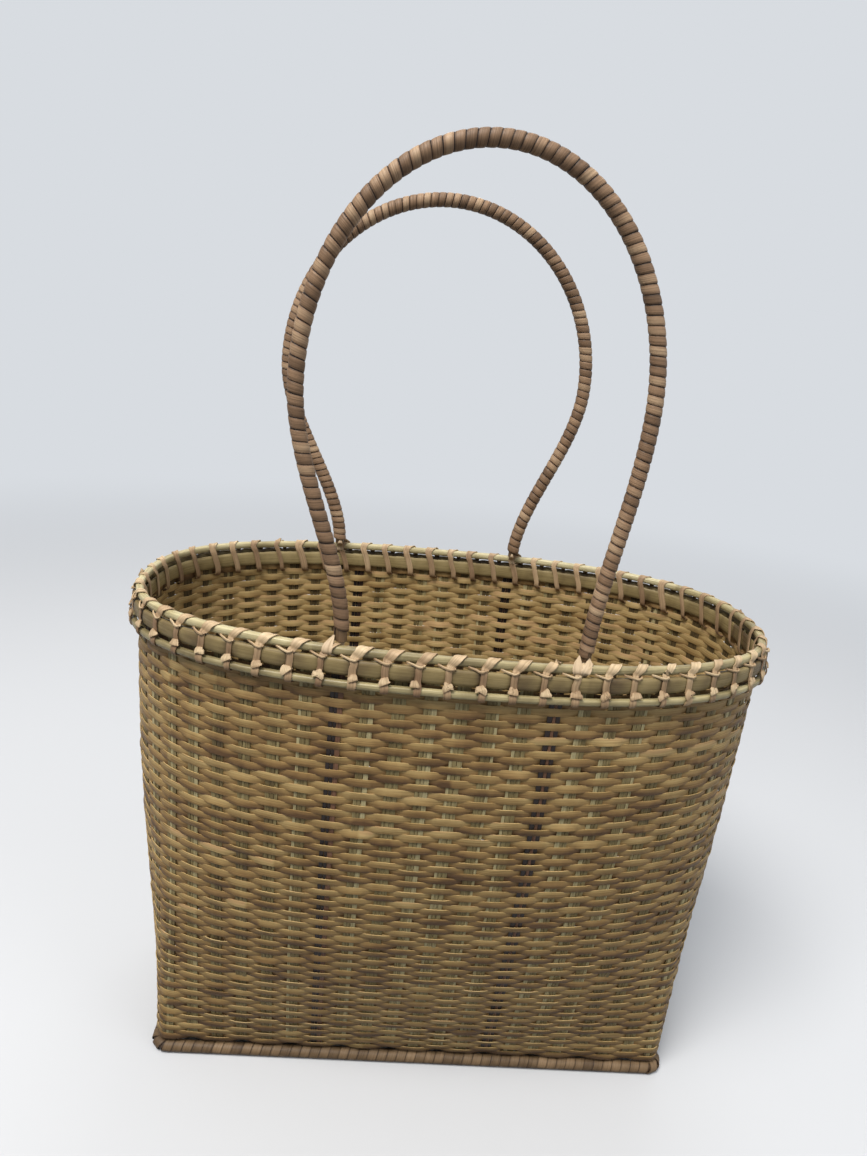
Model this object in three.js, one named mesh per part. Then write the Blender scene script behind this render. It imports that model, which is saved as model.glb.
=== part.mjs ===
// Cane shopping tote: a woven basket with a lashed rim and two wrapped handles.
// Millimetres, +Z up. The origin is on the floor under the middle of the base,
// X runs along the long walls and -Y is the front.

import * as THREE from 'three';

// Mouth and base of the wall, measured on the middle of the weave
const mouthWidth = 380;
const mouthDepth = 205;
const mouthRoundness = 2.5;
const rimHeight = 310;
const baseWidth = 339;
const baseDepth = 125;
const baseCornerRadius = 8;

// Share of the flare from base to mouth that the wall bulges by at half height
const wallBulge = 0.36;

// Stakes: the cross stakes run front to back under the base, the long stakes end to end
const crossStakeCount = 21;
const longStakeCount = 9;
const stakeWidth = 3.2;
const stakeThickness = 1;

// Weave of the wall, in bands of several rows each, and the mat of the base
const weftBandCount = 6;
const weftThickness = 1;
const weftBandGap = 0.4;
const baseMatThickness = 2;

// Canes and hoops of the rim, and the rail that the tote stands on
const topCaneDiameter = 6;
const lowerCaneDiameter = 5;
const outerHoopHeight = 9;
const outerHoopThickness = 3.4;
const innerHoopHeight = 9.5;
const innerHoopThickness = 2.4;
const hoopSpacing = 0.5;
const footRailDiameter = 7.5;

// Lashing strip of the rim
const lashWidth = 3.6;
const lashThickness = 0.6;

// Handles: heights are above the centre of the top cane, and a lean is how far an arch stands
// to the left of the middle between its feet, as seen from outside
const frontHandleRise = 238.5;
const frontHandleHalfWidth = 84;
const frontHandleLean = 10;
const backHandleRise = 242;
const backHandleHalfWidth = 104;
const backHandleLean = -4;
const handleWaistRise = 130;
const handleFootStakes = 4;
const backHandleShiftStakes = 1;
const handleCoreDiameter = 6;
const handleWrapThickness = 0.9;
const handleWrapGroove = 0.35;
const handleWrapTurns = 46;
const handleInset = 4.6;
const handleBareEnd = 2.2;

// Ties that loop the handle feet round the top cane
const tieWidth = 4.4;
const tieThickness = 0.6;

// Space left between pieces that touch
const clearance = 0.3;

const caneGreen = material(0xbdb491, 0.55);
const hoopOlive = material(0x968c69, 0.6);
const lashPeach = material(0xc8aa87, 0.6);
const weftTan = material(0x9f8459, 0.7);
const stakePale = material(0x9c9474, 0.65);
const stakeDark = material(0x3c2314, 0.6);
const wrapPink = material(0xb99b78, 0.6);
const railTan = material(0xa07d5f, 0.65);
const coreBrown = material(0x7a5f42, 0.7);
const tieWhite = material(0xdccdb0, 0.6);

const tau = 2 * Math.PI;
const stakeTotal = 2 * (crossStakeCount + longStakeCount);
const frontMiddle = (crossStakeCount - 1) / 2;
const backMiddle = frontMiddle + stakeTotal / 2;

// Heights of what is stacked on the foot rail
const crossStakeLevel = footRailDiameter + clearance + stakeThickness / 2;
const longStakeLevel = crossStakeLevel + stakeThickness + clearance;
const baseMatBottom = longStakeLevel + stakeThickness / 2 + clearance;
const weftBottom = baseMatBottom;

// Heights of the rim's members, from the top cane down
const topCaneRadius = topCaneDiameter / 2;
const lowerCaneRadius = lowerCaneDiameter / 2;
const topCaneSides = 8;
const topCaneReach = topCaneRadius / Math.cos(Math.PI / topCaneSides);
const tieSides = 12;
const tieRound = (topCaneReach + clearance + tieThickness / 2) / Math.cos(Math.PI / tieSides);
const hoopTop = rimHeight - tieRound - tieThickness / 2 - clearance;
const stakeTop = hoopTop;
const outerHoopBottom = hoopTop - outerHoopHeight;
const lowerCaneLevel = outerHoopBottom - hoopSpacing - lowerCaneRadius;
const lashPassage = lashThickness + 2 * clearance;
const lashCrossing = lowerCaneLevel - lowerCaneRadius - lashPassage / 2;
const weftTop = lowerCaneLevel - lowerCaneRadius - lashPassage;
const weftBandPitch = (weftTop - weftBottom) / weftBandCount;

function material(color, roughness) {
  return new THREE.MeshStandardMaterial({ color, roughness, metalness: 0 });
}

// Point of the mouth's superellipse at an angle
function mouthPoint(angle) {
  const power = 2 / mouthRoundness;
  const cosine = Math.cos(angle);
  const sine = Math.sin(angle);
  const x = (mouthWidth / 2) * Math.sign(cosine) * Math.abs(cosine) ** power;
  const y = (mouthDepth / 2) * Math.sign(sine) * Math.abs(sine) ** power;
  return new THREE.Vector2(x, y);
}

// The mouth as a curve of even steps that starts at the middle of the front wall
class MouthCurve extends THREE.Curve {
  getPoint(t) {
    return mouthPoint(-Math.PI / 2 + tau * t);
  }
}

// Steps by which the length along a curve is measured
const mouthLengthSteps = 2000;
const handleLengthSteps = 800;

const mouthCurve = new MouthCurve();
mouthCurve.arcLengthDivisions = mouthLengthSteps;

function mouthAt(station) {
  const share = (station - frontMiddle) / stakeTotal;
  return mouthCurve.getPointAt(((share % 1) + 1) % 1);
}

// Base outline by station: stakes are evenly spaced on the four straight sides,
// and each corner is a quarter round between the last stake of one side and the first of the next
function baseAt(station) {
  const halfWidth = baseWidth / 2;
  const halfDepth = baseDepth / 2;
  const halfStraightX = halfWidth - baseCornerRadius;
  const halfStraightY = halfDepth - baseCornerRadius;
  const half = stakeTotal / 2;
  const turned = station >= half ? -1 : 1;
  const local = station >= half ? station - half : station;
  let x;
  let y;
  if (local <= crossStakeCount - 1) {
    x = halfStraightX * ((2 * local) / (crossStakeCount - 1) - 1);
    y = -halfDepth;
  } else if (local < crossStakeCount) {
    const angle = (local - crossStakeCount + 1) * (Math.PI / 2);
    x = halfStraightX + baseCornerRadius * Math.sin(angle);
    y = -halfStraightY - baseCornerRadius * Math.cos(angle);
  } else if (local <= crossStakeCount + longStakeCount - 1) {
    x = halfWidth;
    y = halfStraightY * ((2 * (local - crossStakeCount)) / (longStakeCount - 1) - 1);
  } else {
    const angle = (local - half + 1) * (Math.PI / 2);
    x = halfStraightX + baseCornerRadius * Math.cos(angle);
    y = halfStraightY + baseCornerRadius * Math.sin(angle);
  }
  return new THREE.Vector2(turned * x, turned * y);
}

// Stations round the wall: every stake, and three more in each corner of the base
const cornerShares = [0.22, 0.5, 0.78];
const stations = [];
for (let stake = 0; stake < stakeTotal; stake += 1) {
  stations.push({ place: stake, stake, lean: 1 });
  const local = stake % (stakeTotal / 2);
  if (local === crossStakeCount - 1 || local === stakeTotal / 2 - 1) {
    stations.push({ place: stake + cornerShares[0], stake, lean: 1 });
    stations.push({ place: stake + cornerShares[1], stake, lean: 0 });
    stations.push({ place: stake + cornerShares[2], stake, lean: -1 });
  }
}
for (const station of stations) {
  station.base = baseAt(station.place);
  station.mouth = mouthAt(station.place);
}

// The wall's middle goes from the base outline to the mouth in a bulge, so that it flares
// low down and stands almost upright at the rim
function wallMiddle(station, height) {
  const climb = (height - crossStakeLevel) / (rimHeight - crossStakeLevel);
  const share = THREE.MathUtils.clamp(climb, 0, 1);
  return station.base.clone().lerp(station.mouth, share + wallBulge * Math.sin(Math.PI * share));
}

// Outward direction at a station, mitred between the two sides that meet there
function wallNormal(index, height) {
  const count = stations.length;
  const here = wallMiddle(stations[index], height);
  const before = wallMiddle(stations[(index + count - 1) % count], height);
  const after = wallMiddle(stations[(index + 1) % count], height);
  const sideA = here.clone().sub(before).normalize();
  const sideB = after.clone().sub(here).normalize();
  const normalA = new THREE.Vector2(sideA.y, -sideA.x);
  const normalB = new THREE.Vector2(sideB.y, -sideB.x);
  const mitre = normalA.clone().add(normalB).normalize();
  return mitre.divideScalar(mitre.dot(normalA));
}

// Point that stands off the wall's middle at a station
function offWall(index, offset, height) {
  const middle = wallMiddle(stations[index], height);
  const normal = wallNormal(index, height);
  return new THREE.Vector3(middle.x + offset * normal.x, middle.y + offset * normal.y, height);
}

// Same, at a share of the way from one station to the next
function offWallBetween(place, offset, height) {
  const count = stations.length;
  const wrapped = ((place % stakeTotal) + stakeTotal) % stakeTotal;
  let index = count - 1;
  while (stations[index].place > wrapped) {
    index -= 1;
  }
  const next = (index + 1) % count;
  const end = next === 0 ? stakeTotal : stations[next].place;
  const share = (wrapped - stations[index].place) / (end - stations[index].place);
  return offWall(index, offset, height).lerp(offWall(next, offset, height), share);
}

// Closed solid from a row of sections with equal numbers of points; a ring joins its last to its first.
// Faces on opposite sides are split along the same diagonal, so that a thin wall that twists keeps its thickness
function skin(sections, ring) {
  const sides = sections[0].length;
  const positions = [];
  const indices = [];
  for (const section of sections) {
    for (const point of section) {
      positions.push(point.x, point.y, point.z);
    }
  }
  const spans = ring ? sections.length : sections.length - 1;
  for (let span = 0; span < spans; span += 1) {
    const start = span * sides;
    const end = ((span + 1) % sections.length) * sides;
    for (let side = 0; side < sides; side += 1) {
      const next = (side + 1) % sides;
      if (side < sides / 2) {
        indices.push(start + side, start + next, end + next);
        indices.push(start + side, end + next, end + side);
      } else {
        indices.push(start + side, start + next, end + side);
        indices.push(start + next, end + next, end + side);
      }
    }
  }
  if (!ring) {
    const last = (sections.length - 1) * sides;
    for (let side = 1; side < sides - 1; side += 1) {
      indices.push(0, side + 1, side);
      indices.push(last, last + side, last + side + 1);
    }
  }
  return outward(positions, indices);
}

// Geometry whose faces point out, whichever way round its sections were given
function outward(positions, indices) {
  const corner = (index) => new THREE.Vector3().fromArray(positions, 3 * index);
  let volume = 0;
  for (let face = 0; face < indices.length; face += 3) {
    const a = corner(indices[face]);
    const b = corner(indices[face + 1]);
    const c = corner(indices[face + 2]);
    volume += a.dot(b.cross(c));
  }
  const faces = volume < 0 ? indices.slice().reverse() : indices;
  const geometry = new THREE.BufferGeometry();
  geometry.setAttribute('position', new THREE.Float32BufferAttribute(positions, 3));
  geometry.setIndex(faces);
  geometry.computeVertexNormals();
  return geometry;
}

function addPiece(group, name, geometry, finish) {
  const piece = new THREE.Mesh(geometry, finish);
  piece.name = name;
  group.add(piece);
  return piece;
}

// Ring round the wall whose section is a list of offsets from the wall's middle and heights
function wallRing(section) {
  const sections = stations.map((station, index) =>
    section.map((corner) => offWall(index, corner.offset, corner.height)));
  return skin(sections, true);
}

// Regular section of a cane, flat underneath so that it can rest
function caneSection(radius, offset, height, sides) {
  const reach = radius / Math.cos(Math.PI / sides);
  return Array.from({ length: sides }, (unused, side) => {
    const angle = ((side + 0.5) / sides) * tau - Math.PI / 2;
    return { offset: offset + reach * Math.cos(angle), height: height + reach * Math.sin(angle) };
  });
}

function boxSection(inner, outer, bottom, top) {
  return [
    { offset: outer, height: bottom },
    { offset: outer, height: top },
    { offset: inner, height: top },
    { offset: inner, height: bottom },
  ];
}

// Stakes: flat strips from the rim down one wall, across the base and up the opposite wall

function stationOfStake(stake) {
  return stations.findIndex((station) => station.place === stake);
}

// Four corners of a strip's section from its middle, its width direction and its face direction
function stripSection(middle, across, facing, width, thickness) {
  const half = across.clone().multiplyScalar(width / 2);
  const rise = facing.clone().multiplyScalar(thickness / 2);
  return [
    middle.clone().add(half).add(rise),
    middle.clone().sub(half).add(rise),
    middle.clone().sub(half).sub(rise),
    middle.clone().add(half).sub(rise),
  ];
}

// Sections of a strip from its top down one wall to its bend, one where each weft band meets the next,
// so that the strip follows the bulge as the bands do
function wallRun(end, level, sign) {
  const index = stationOfStake(end);
  const heights = [stakeTop];
  for (let band = weftBandCount - 1; band > 0; band -= 1) {
    heights.push(weftBottom + band * weftBandPitch);
  }
  heights.push(level);
  return heights.map((height) => {
    const normal = wallNormal(index, height).normalize();
    const facing = new THREE.Vector3(normal.x, normal.y, height === level ? -1 : 0);
    const across = new THREE.Vector3(-normal.y, normal.x, 0).multiplyScalar(sign);
    return stripSection(offWall(index, 0, height), across, facing, stakeWidth, stakeThickness);
  });
}

function stake(first, second, level) {
  const down = wallRun(first, level, 1);
  const up = wallRun(second, level, -1).reverse();
  return skin([...down, ...up], false);
}

function addStakes(group) {
  const darkPlaces = [frontMiddle - handleFootStakes, frontMiddle + handleFootStakes];
  for (let count = 0; count < crossStakeCount; count += 1) {
    const opposite = stakeTotal / 2 + crossStakeCount - 1 - count;
    const finish = darkPlaces.includes(count) ? stakeDark : stakePale;
    addPiece(group, numbered('cross_stake', count), stake(count, opposite, crossStakeLevel), finish);
  }
  for (let count = 0; count < longStakeCount; count += 1) {
    const first = crossStakeCount + count;
    const opposite = stakeTotal - 1 - count;
    addPiece(group, numbered('long_stake', count), stake(first, opposite, longStakeLevel), stakePale);
  }
}

function numbered(word, count) {
  return `${word}_${String(count + 1).padStart(2, '0')}`;
}

// Weave of the wall: each band goes outside one stake and inside the next,
// and the band above it does the opposite

function closestStakes() {
  const alongFront = (baseWidth - 2 * baseCornerRadius) / (crossStakeCount - 1);
  const alongEnd = (baseDepth - 2 * baseCornerRadius) / (longStakeCount - 1);
  return Math.min(alongFront, alongEnd, mouthCurve.getLength() / stakeTotal);
}

const weftSlopeAllowance = 1.3;
const weftSwing = (weftThickness * weftSlopeAllowance / 2 + stakeThickness / 2 + clearance)
  / (1 - stakeWidth / closestStakes());
const weaveHalfDepth = weftSwing + weftThickness / 2;

function weftBand(band) {
  const bottom = weftBottom + band * weftBandPitch;
  const top = bottom + weftBandPitch - weftBandGap;
  const sections = stations.map((station, index) => {
    const nextStake = station.lean < 0 ? station.stake + 1 : station.stake;
    const side = (nextStake + band) % 2 === 0 ? 1 : -1;
    const swing = station.lean === 0 ? 0 : side * weftSwing;
    const inner = swing - weftThickness / 2;
    const outer = swing + weftThickness / 2;
    const corners = boxSection(inner, outer, bottom, top);
    return corners.map((corner) => offWall(index, corner.offset, corner.height));
  });
  return skin(sections, true);
}

function addWeave(group) {
  for (let band = 0; band < weftBandCount; band += 1) {
    addPiece(group, numbered('weft_band', band), weftBand(band), weftTan);
  }
  const inset = -(weaveHalfDepth + clearance);
  const outline = stations.map((station, index) => offWall(index, inset, baseMatBottom));
  const shape = new THREE.Shape(outline.map((point) => new THREE.Vector2(point.x, point.y)));
  const mat = new THREE.ExtrudeGeometry(shape, { depth: baseMatThickness, bevelEnabled: false });
  addPiece(group, 'base_mat', mat, weftTan).position.z = baseMatBottom;
}

// Rim: two hoops grip the stakes, one cane covers them and another runs below the outer hoop

const hoopSeat = stakeThickness / 2 + clearance;
const outerHoopFace = hoopSeat + outerHoopThickness;
const innerHoopFace = hoopSeat + innerHoopThickness;
const caneSides = 6;
const lowerCaneReach = lowerCaneRadius / Math.cos(Math.PI / caneSides);
const lowerCaneOffset = hoopSeat + lowerCaneReach;

function outerHoopSection() {
  const round = outerHoopThickness / 3;
  return [
    { offset: hoopSeat, height: outerHoopBottom },
    { offset: outerHoopFace - round, height: outerHoopBottom },
    { offset: outerHoopFace, height: outerHoopBottom + outerHoopHeight / 2 },
    { offset: outerHoopFace - round, height: hoopTop },
    { offset: hoopSeat, height: hoopTop },
  ];
}

// The lashing is one strip that winds round the rim, one turn to each gap between stakes.
// A turn is a list of places along the rim, in shares of the stake spacing, with the way the strip faces
function lashTurn() {
  const stand = clearance + lashThickness / 2;
  const sixth = Math.PI / 6;
  const overCane = (topCaneReach + stand) / Math.cos(sixth);
  const outside = Math.max(outerHoopFace, lowerCaneOffset + lowerCaneReach);
  const leaning = overCane * Math.cos(sixth);
  const lift = overCane * Math.sin(sixth);
  const inside = -(innerHoopFace + stand);
  return [
    { share: 0.47, offset: 0, height: rimHeight + overCane, face: [0, 1] },
    { share: 0.49, offset: leaning, height: rimHeight + lift, face: [1, 0.4] },
    { share: 0.5, offset: outside + stand, height: lowerCaneLevel + lowerCaneRadius, face: [1, 0.1] },
    { share: 0.5, offset: outside + stand, height: lashCrossing, face: [0.7, -0.7] },
    { share: 0.58, offset: inside, height: lashCrossing, face: [-0.7, -0.7] },
    { share: 1.32, offset: inside, height: hoopTop, face: [-1, 0.2] },
    { share: 1.43, offset: -leaning, height: rimHeight + lift, face: [-1, 0.4] },
  ];
}

// Share of the stake spacing over which the rim's direction is measured
const aheadShare = 0.05;

function rimLashing() {
  const turn = lashTurn();
  const sections = [];
  for (let gap = 0; gap < stakeTotal; gap += 1) {
    for (const stop of turn) {
      const place = gap + stop.share;
      const middle = offWallBetween(place, stop.offset, stop.height);
      const ahead = offWallBetween(place + aheadShare, stop.offset, stop.height);
      const along = ahead.sub(middle).normalize();
      const out = new THREE.Vector3(along.y, -along.x, 0);
      const facing = out.multiplyScalar(stop.face[0]).setZ(stop.face[1]).normalize();
      sections.push(stripSection(middle, along, facing, lashWidth, lashThickness));
    }
  }
  return skin(sections, true);
}

function addRim(group) {
  addPiece(group, 'top_cane', wallRing(caneSection(topCaneRadius, 0, rimHeight, topCaneSides)), caneGreen);
  addPiece(group, 'outer_hoop', wallRing(outerHoopSection()), hoopOlive);
  const innerHoopBottom = hoopTop - innerHoopHeight;
  const innerHoop = boxSection(-innerHoopFace, -hoopSeat, innerHoopBottom, hoopTop);
  addPiece(group, 'inner_hoop', wallRing(innerHoop), hoopOlive);
  const lowerCane = caneSection(lowerCaneRadius, lowerCaneOffset, lowerCaneLevel, caneSides);
  addPiece(group, 'lower_cane', wallRing(lowerCane), caneGreen);
  addPiece(group, 'rim_lashing', rimLashing(), lashPeach);
  const rail = caneSection(footRailDiameter / 2, 0, footRailDiameter / 2, caneSides);
  addPiece(group, 'foot_rail', wallRing(rail), railTan);
}

// Handles: an upright loop, narrow at the feet, wider above and round on top, that leans to one side

const wrapSides = 6;
const coreRadius = handleCoreDiameter / 2;
const wrapBore = coreRadius + clearance;
const wrapCrest = wrapBore + handleWrapThickness;
const wrapValley = wrapCrest - handleWrapGroove;
const handleFootLift = topCaneRadius + clearance + tieThickness;

// Middle line of a handle in its own plane, with the feet on each side of x = 0
class HandleCurve extends THREE.Curve {
  constructor(halfFoot, halfWidth, lean, rise) {
    super();
    this.halfFoot = halfFoot;
    this.halfWidth = halfWidth;
    this.lean = lean;
    this.rise = rise;
    this.arcLengthDivisions = handleLengthSteps;
    const archLength = Math.PI * Math.hypot(halfWidth, rise - handleWaistRise) / Math.SQRT2;
    this.legShare = handleWaistRise / (2 * handleWaistRise + archLength);
  }

  getPoint(t) {
    const legHeight = handleWaistRise - handleFootLift;
    const mirror = t < 0.5 ? -1 : 1;
    const fromFoot = t < 0.5 ? t : 1 - t;
    if (fromFoot < this.legShare) {
      const climb = fromFoot / this.legShare;
      const spread = climb * climb * (3 - 2 * climb);
      const x = mirror * (this.halfFoot + (this.halfWidth - this.halfFoot) * spread) - this.lean * spread;
      return new THREE.Vector3(x, 0, handleFootLift + legHeight * climb);
    }
    const angle = ((t - this.legShare) / (1 - 2 * this.legShare)) * Math.PI;
    const z = handleWaistRise + (this.rise - handleWaistRise) * Math.sin(angle);
    return new THREE.Vector3(-this.lean - this.halfWidth * Math.cos(angle), 0, z);
  }
}

// Point on a round section of a handle, at a distance along its middle line
function aroundHandle(curve, distance, angle, radius) {
  const share = THREE.MathUtils.clamp(distance / curve.getLength(), 0, 1);
  const middle = curve.getPointAt(share);
  const tangent = curve.getTangentAt(share);
  const across = new THREE.Vector3(0, 1, 0);
  const facing = tangent.cross(across);
  middle.addScaledVector(facing, radius * Math.cos(angle));
  return middle.addScaledVector(across, radius * Math.sin(angle));
}

function roundSection(curve, distance, radius, sides) {
  return Array.from({ length: sides }, (unused, side) =>
    aroundHandle(curve, distance, ((side + 0.5) / sides) * tau, radius));
}

// Distances along a handle at which the wrap's bore and the core inside it both have a section
function wrapStops(curve) {
  const pitch = (curve.getLength() - 2 * handleBareEnd) / (handleWrapTurns + 1);
  return Array.from({ length: handleWrapTurns + 2 }, (unused, turn) => handleBareEnd + turn * pitch);
}

function handleCore(curve) {
  const stops = [0, ...wrapStops(curve), curve.getLength()];
  return skin(stops.map((stop) => roundSection(curve, stop, coreRadius, wrapSides)), false);
}

// The wrap is one strip wound from foot to foot. Its outer face is a spiral of valleys, where two turns
// meet, and crests between them; its bore follows the core, and each end is closed from bore to spiral
function handleWrap(curve) {
  const sides = wrapSides;
  const stops = wrapStops(curve);
  const pitch = stops[1] - stops[0];
  const columns = handleWrapTurns * sides;
  const positions = [];
  const indices = [];
  const add = (distance, side, radius) => {
    const point = aroundHandle(curve, distance, ((side + 0.5) / sides) * tau, radius);
    positions.push(point.x, point.y, point.z);
    return positions.length / 3 - 1;
  };
  const valley = [];
  const crest = [];
  for (let column = 0; column <= columns + sides; column += 1) {
    valley.push(add(stops[0] + (column / sides) * pitch, column, wrapValley));
  }
  for (let column = 0; column <= columns; column += 1) {
    crest.push(add(stops[0] + (column / sides + 0.5) * pitch, column, wrapCrest));
  }
  const quad = (a, b, c, d) => indices.push(a, b, c, a, c, d);
  for (let column = 0; column < columns; column += 1) {
    quad(valley[column], valley[column + 1], crest[column + 1], crest[column]);
    quad(crest[column], crest[column + 1], valley[column + 1 + sides], valley[column + sides]);
  }
  const ringAt = (stop) => Array.from({ length: sides }, (unused, side) => add(stop, side, wrapBore));
  const bore = stops.map(ringAt);
  for (let step = 0; step < bore.length - 1; step += 1) {
    for (let side = 0; side < sides; side += 1) {
      const next = (side + 1) % sides;
      quad(bore[step][side], bore[step + 1][side], bore[step + 1][next], bore[step][next]);
    }
  }
  const first = bore[0];
  const last = bore[bore.length - 1];
  for (let side = 0; side < sides; side += 1) {
    const next = (side + 1) % sides;
    quad(first[side], first[next], valley[side + 1], valley[side]);
    quad(valley[columns + side], valley[columns + side + 1], last[next], last[side]);
  }
  indices.push(first[0], crest[0], valley[sides]);
  indices.push(first[0], valley[0], crest[0]);
  indices.push(last[0], valley[columns + sides], crest[columns]);
  indices.push(last[0], crest[columns], valley[columns]);
  return outward(positions, indices);
}

// Least cosine by which a strap's corner is mitred, so that a sharp corner stays short
const sharpestMitre = 0.5;

// A tie starts on the leg's outer face, goes over the top cane and under it, then below the leg's end
// and up the leg's inner face. Offsets are from the cane's centre, positive outwards
function tie() {
  const stand = clearance + tieThickness / 2;
  const legOuter = -handleInset + coreRadius + stand;
  const legInner = -handleInset - coreRadius - stand;
  const limbTop = handleFootLift + handleBareEnd - clearance;
  const path = [[legOuter, limbTop], [legOuter, handleFootLift]];
  for (let corner = (tieSides / 2 - 1) / 2; corner > -tieSides / 2; corner -= 1) {
    const angle = (corner / tieSides) * tau;
    path.push([tieRound * Math.cos(angle), tieRound * Math.sin(angle)]);
  }
  path.push([legInner, handleFootLift - stand]);
  path.push([legInner, limbTop]);
  const points = path.map(([offset, height]) => new THREE.Vector2(offset, height));
  const sides = [1, -1].map((side) => points.map((point, index) => {
    const before = points[Math.max(0, index - 1)];
    const after = points[Math.min(points.length - 1, index + 1)];
    const inward = point.clone().sub(before).normalize();
    const leaving = after.clone().sub(point).normalize();
    const along = inward.clone().add(leaving).normalize();
    const normal = new THREE.Vector2(-along.y, along.x);
    const sharpness = Math.max(along.dot(leaving), along.dot(inward), sharpestMitre);
    return point.clone().addScaledVector(normal, (side * tieThickness) / 2 / sharpness);
  }));
  const shape = new THREE.Shape([...sides[0], ...sides[1].reverse()]);
  const strap = new THREE.ExtrudeGeometry(shape, { depth: tieWidth, bevelEnabled: false });
  return strap.translate(0, 0, -tieWidth / 2);
}

// Turns the tie's drawing so that its offsets point out of the basket and its heights up
const tieFrame = new THREE.Matrix4().makeBasis(
  new THREE.Vector3(0, -1, 0),
  new THREE.Vector3(0, 0, 1),
  new THREE.Vector3(-1, 0, 0),
);

// A handle hangs on two stakes of its wall. Its group stands at the middle of the line between
// the cane's centres there, with x along that line and y pointing into the basket.
// Left and right are as seen from outside
function addHandle(group, word, leftStake, rightStake, halfWidth, lean, rise) {
  const left = offWallBetween(leftStake, 0, rimHeight);
  const right = offWallBetween(rightStake, 0, rimHeight);
  const line = right.clone().sub(left);
  const handle = new THREE.Group();
  handle.position.copy(left).lerp(right, 0.5);
  handle.rotation.z = Math.atan2(line.y, line.x);
  group.add(handle);
  const halfFoot = line.length() / 2;
  const curve = new HandleCurve(halfFoot, halfWidth, lean, rise);
  const legs = new THREE.Group();
  legs.position.y = handleInset;
  handle.add(legs);
  addPiece(legs, `${word}_handle_core`, handleCore(curve), coreBrown);
  addPiece(legs, `${word}_handle_wrap`, handleWrap(curve), wrapPink);
  for (const [side, x, foot] of [['left', -halfFoot, leftStake], ['right', halfFoot, rightStake]]) {
    const strap = addPiece(handle, `${word}_${side}_tie`, tie(), tieWhite);
    const normal = wallNormal(stationOfStake(foot), rimHeight);
    const caneTurn = new THREE.Matrix4().makeRotationZ(Math.atan2(normal.x, -normal.y) - handle.rotation.z);
    strap.setRotationFromMatrix(caneTurn.multiply(tieFrame));
    strap.position.x = x;
  }
  return handle;
}

const tote = new THREE.Group();
tote.name = 'cane_tote';
addStakes(tote);
addWeave(tote);
addRim(tote);
addHandle(
  tote, 'front',
  frontMiddle - handleFootStakes, frontMiddle + handleFootStakes,
  frontHandleHalfWidth, frontHandleLean, frontHandleRise,
);
const backCentre = backMiddle + backHandleShiftStakes;
addHandle(
  tote, 'back',
  backCentre - handleFootStakes, backCentre + handleFootStakes,
  backHandleHalfWidth, backHandleLean, backHandleRise,
);

export default tote;
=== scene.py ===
"""Looks of the woven cane tote: wall, base, rim, foot rail and handles, with a camera and a studio."""

import logging
import math
from dataclasses import dataclass
from enum import Enum

import bpy
import numpy as np
from mathutils import Matrix


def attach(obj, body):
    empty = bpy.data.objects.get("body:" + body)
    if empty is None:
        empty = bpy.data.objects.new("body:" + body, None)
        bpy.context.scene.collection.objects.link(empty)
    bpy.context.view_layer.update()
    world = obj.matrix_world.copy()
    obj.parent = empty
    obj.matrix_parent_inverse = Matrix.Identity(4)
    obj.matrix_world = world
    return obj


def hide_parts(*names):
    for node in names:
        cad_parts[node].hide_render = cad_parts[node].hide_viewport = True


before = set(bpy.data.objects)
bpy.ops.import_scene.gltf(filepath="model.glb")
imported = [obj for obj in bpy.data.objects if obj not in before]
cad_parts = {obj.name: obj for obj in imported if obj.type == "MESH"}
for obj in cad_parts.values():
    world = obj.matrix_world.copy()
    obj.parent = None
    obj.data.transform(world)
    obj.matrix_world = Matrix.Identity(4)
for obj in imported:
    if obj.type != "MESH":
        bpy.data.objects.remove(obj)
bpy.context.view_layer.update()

Array = np.ndarray
Colour = tuple[float, float, float]
Span = tuple[float, float]
MM = 0.001
TAU = 2 * math.pi
log = logging.getLogger("tote")


# Small array helpers


def unit(vectors: Array) -> Array:
    """Vectors of length one in the directions of the given ones."""
    return vectors / np.maximum(np.linalg.norm(vectors, axis=-1, keepdims=True), 1e-12)


def square_to(guide: Array, ahead: Array) -> Array:
    """Directions square to the ones ahead, and as near to the guides as that allows."""
    return unit(guide - (guide * ahead).sum(axis=-1, keepdims=True) * ahead)


def ahead_of(points: Array, ring: bool) -> Array:
    """Directions along curves, at each point from the one before it to the one after it.

    Args:
        points: The curves, as (..., points, 3).
        ring: Whether the last point joins the first.

    Returns:
        Vectors of length one, in the same shape.
    """
    if ring:
        return unit(np.roll(points, -1, axis=-2) - np.roll(points, 1, axis=-2))
    return unit(np.gradient(points, axis=-2))


def outward(ahead: Array) -> Array:
    """Level directions to the right of the ones ahead, which is outwards on a ring against the clock."""
    return unit(np.stack([ahead[..., 1], -ahead[..., 0], 0 * ahead[..., 0]], axis=-1))


def lengths(points: Array) -> Array:
    """Lengths of a line from its first point to each of its points."""
    return np.r_[0, np.linalg.norm(np.diff(points, axis=0), axis=-1).cumsum()]


def between(wanted: Array, places: Array, points: Array) -> Array:
    """Points of a line at the wanted places, straight between its own points at theirs."""
    return np.stack([np.interp(wanted, places, column) for column in points.T], axis=-1)


def linear(colour: Colour) -> Colour:
    """Turns an sRGB colour of 0 to 255 into the linear values that shaders take."""
    share = np.array(colour) / 255
    return tuple(np.where(share <= 0.04045, share / 12.92, ((share + 0.055) / 1.055) ** 2.4))


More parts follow.
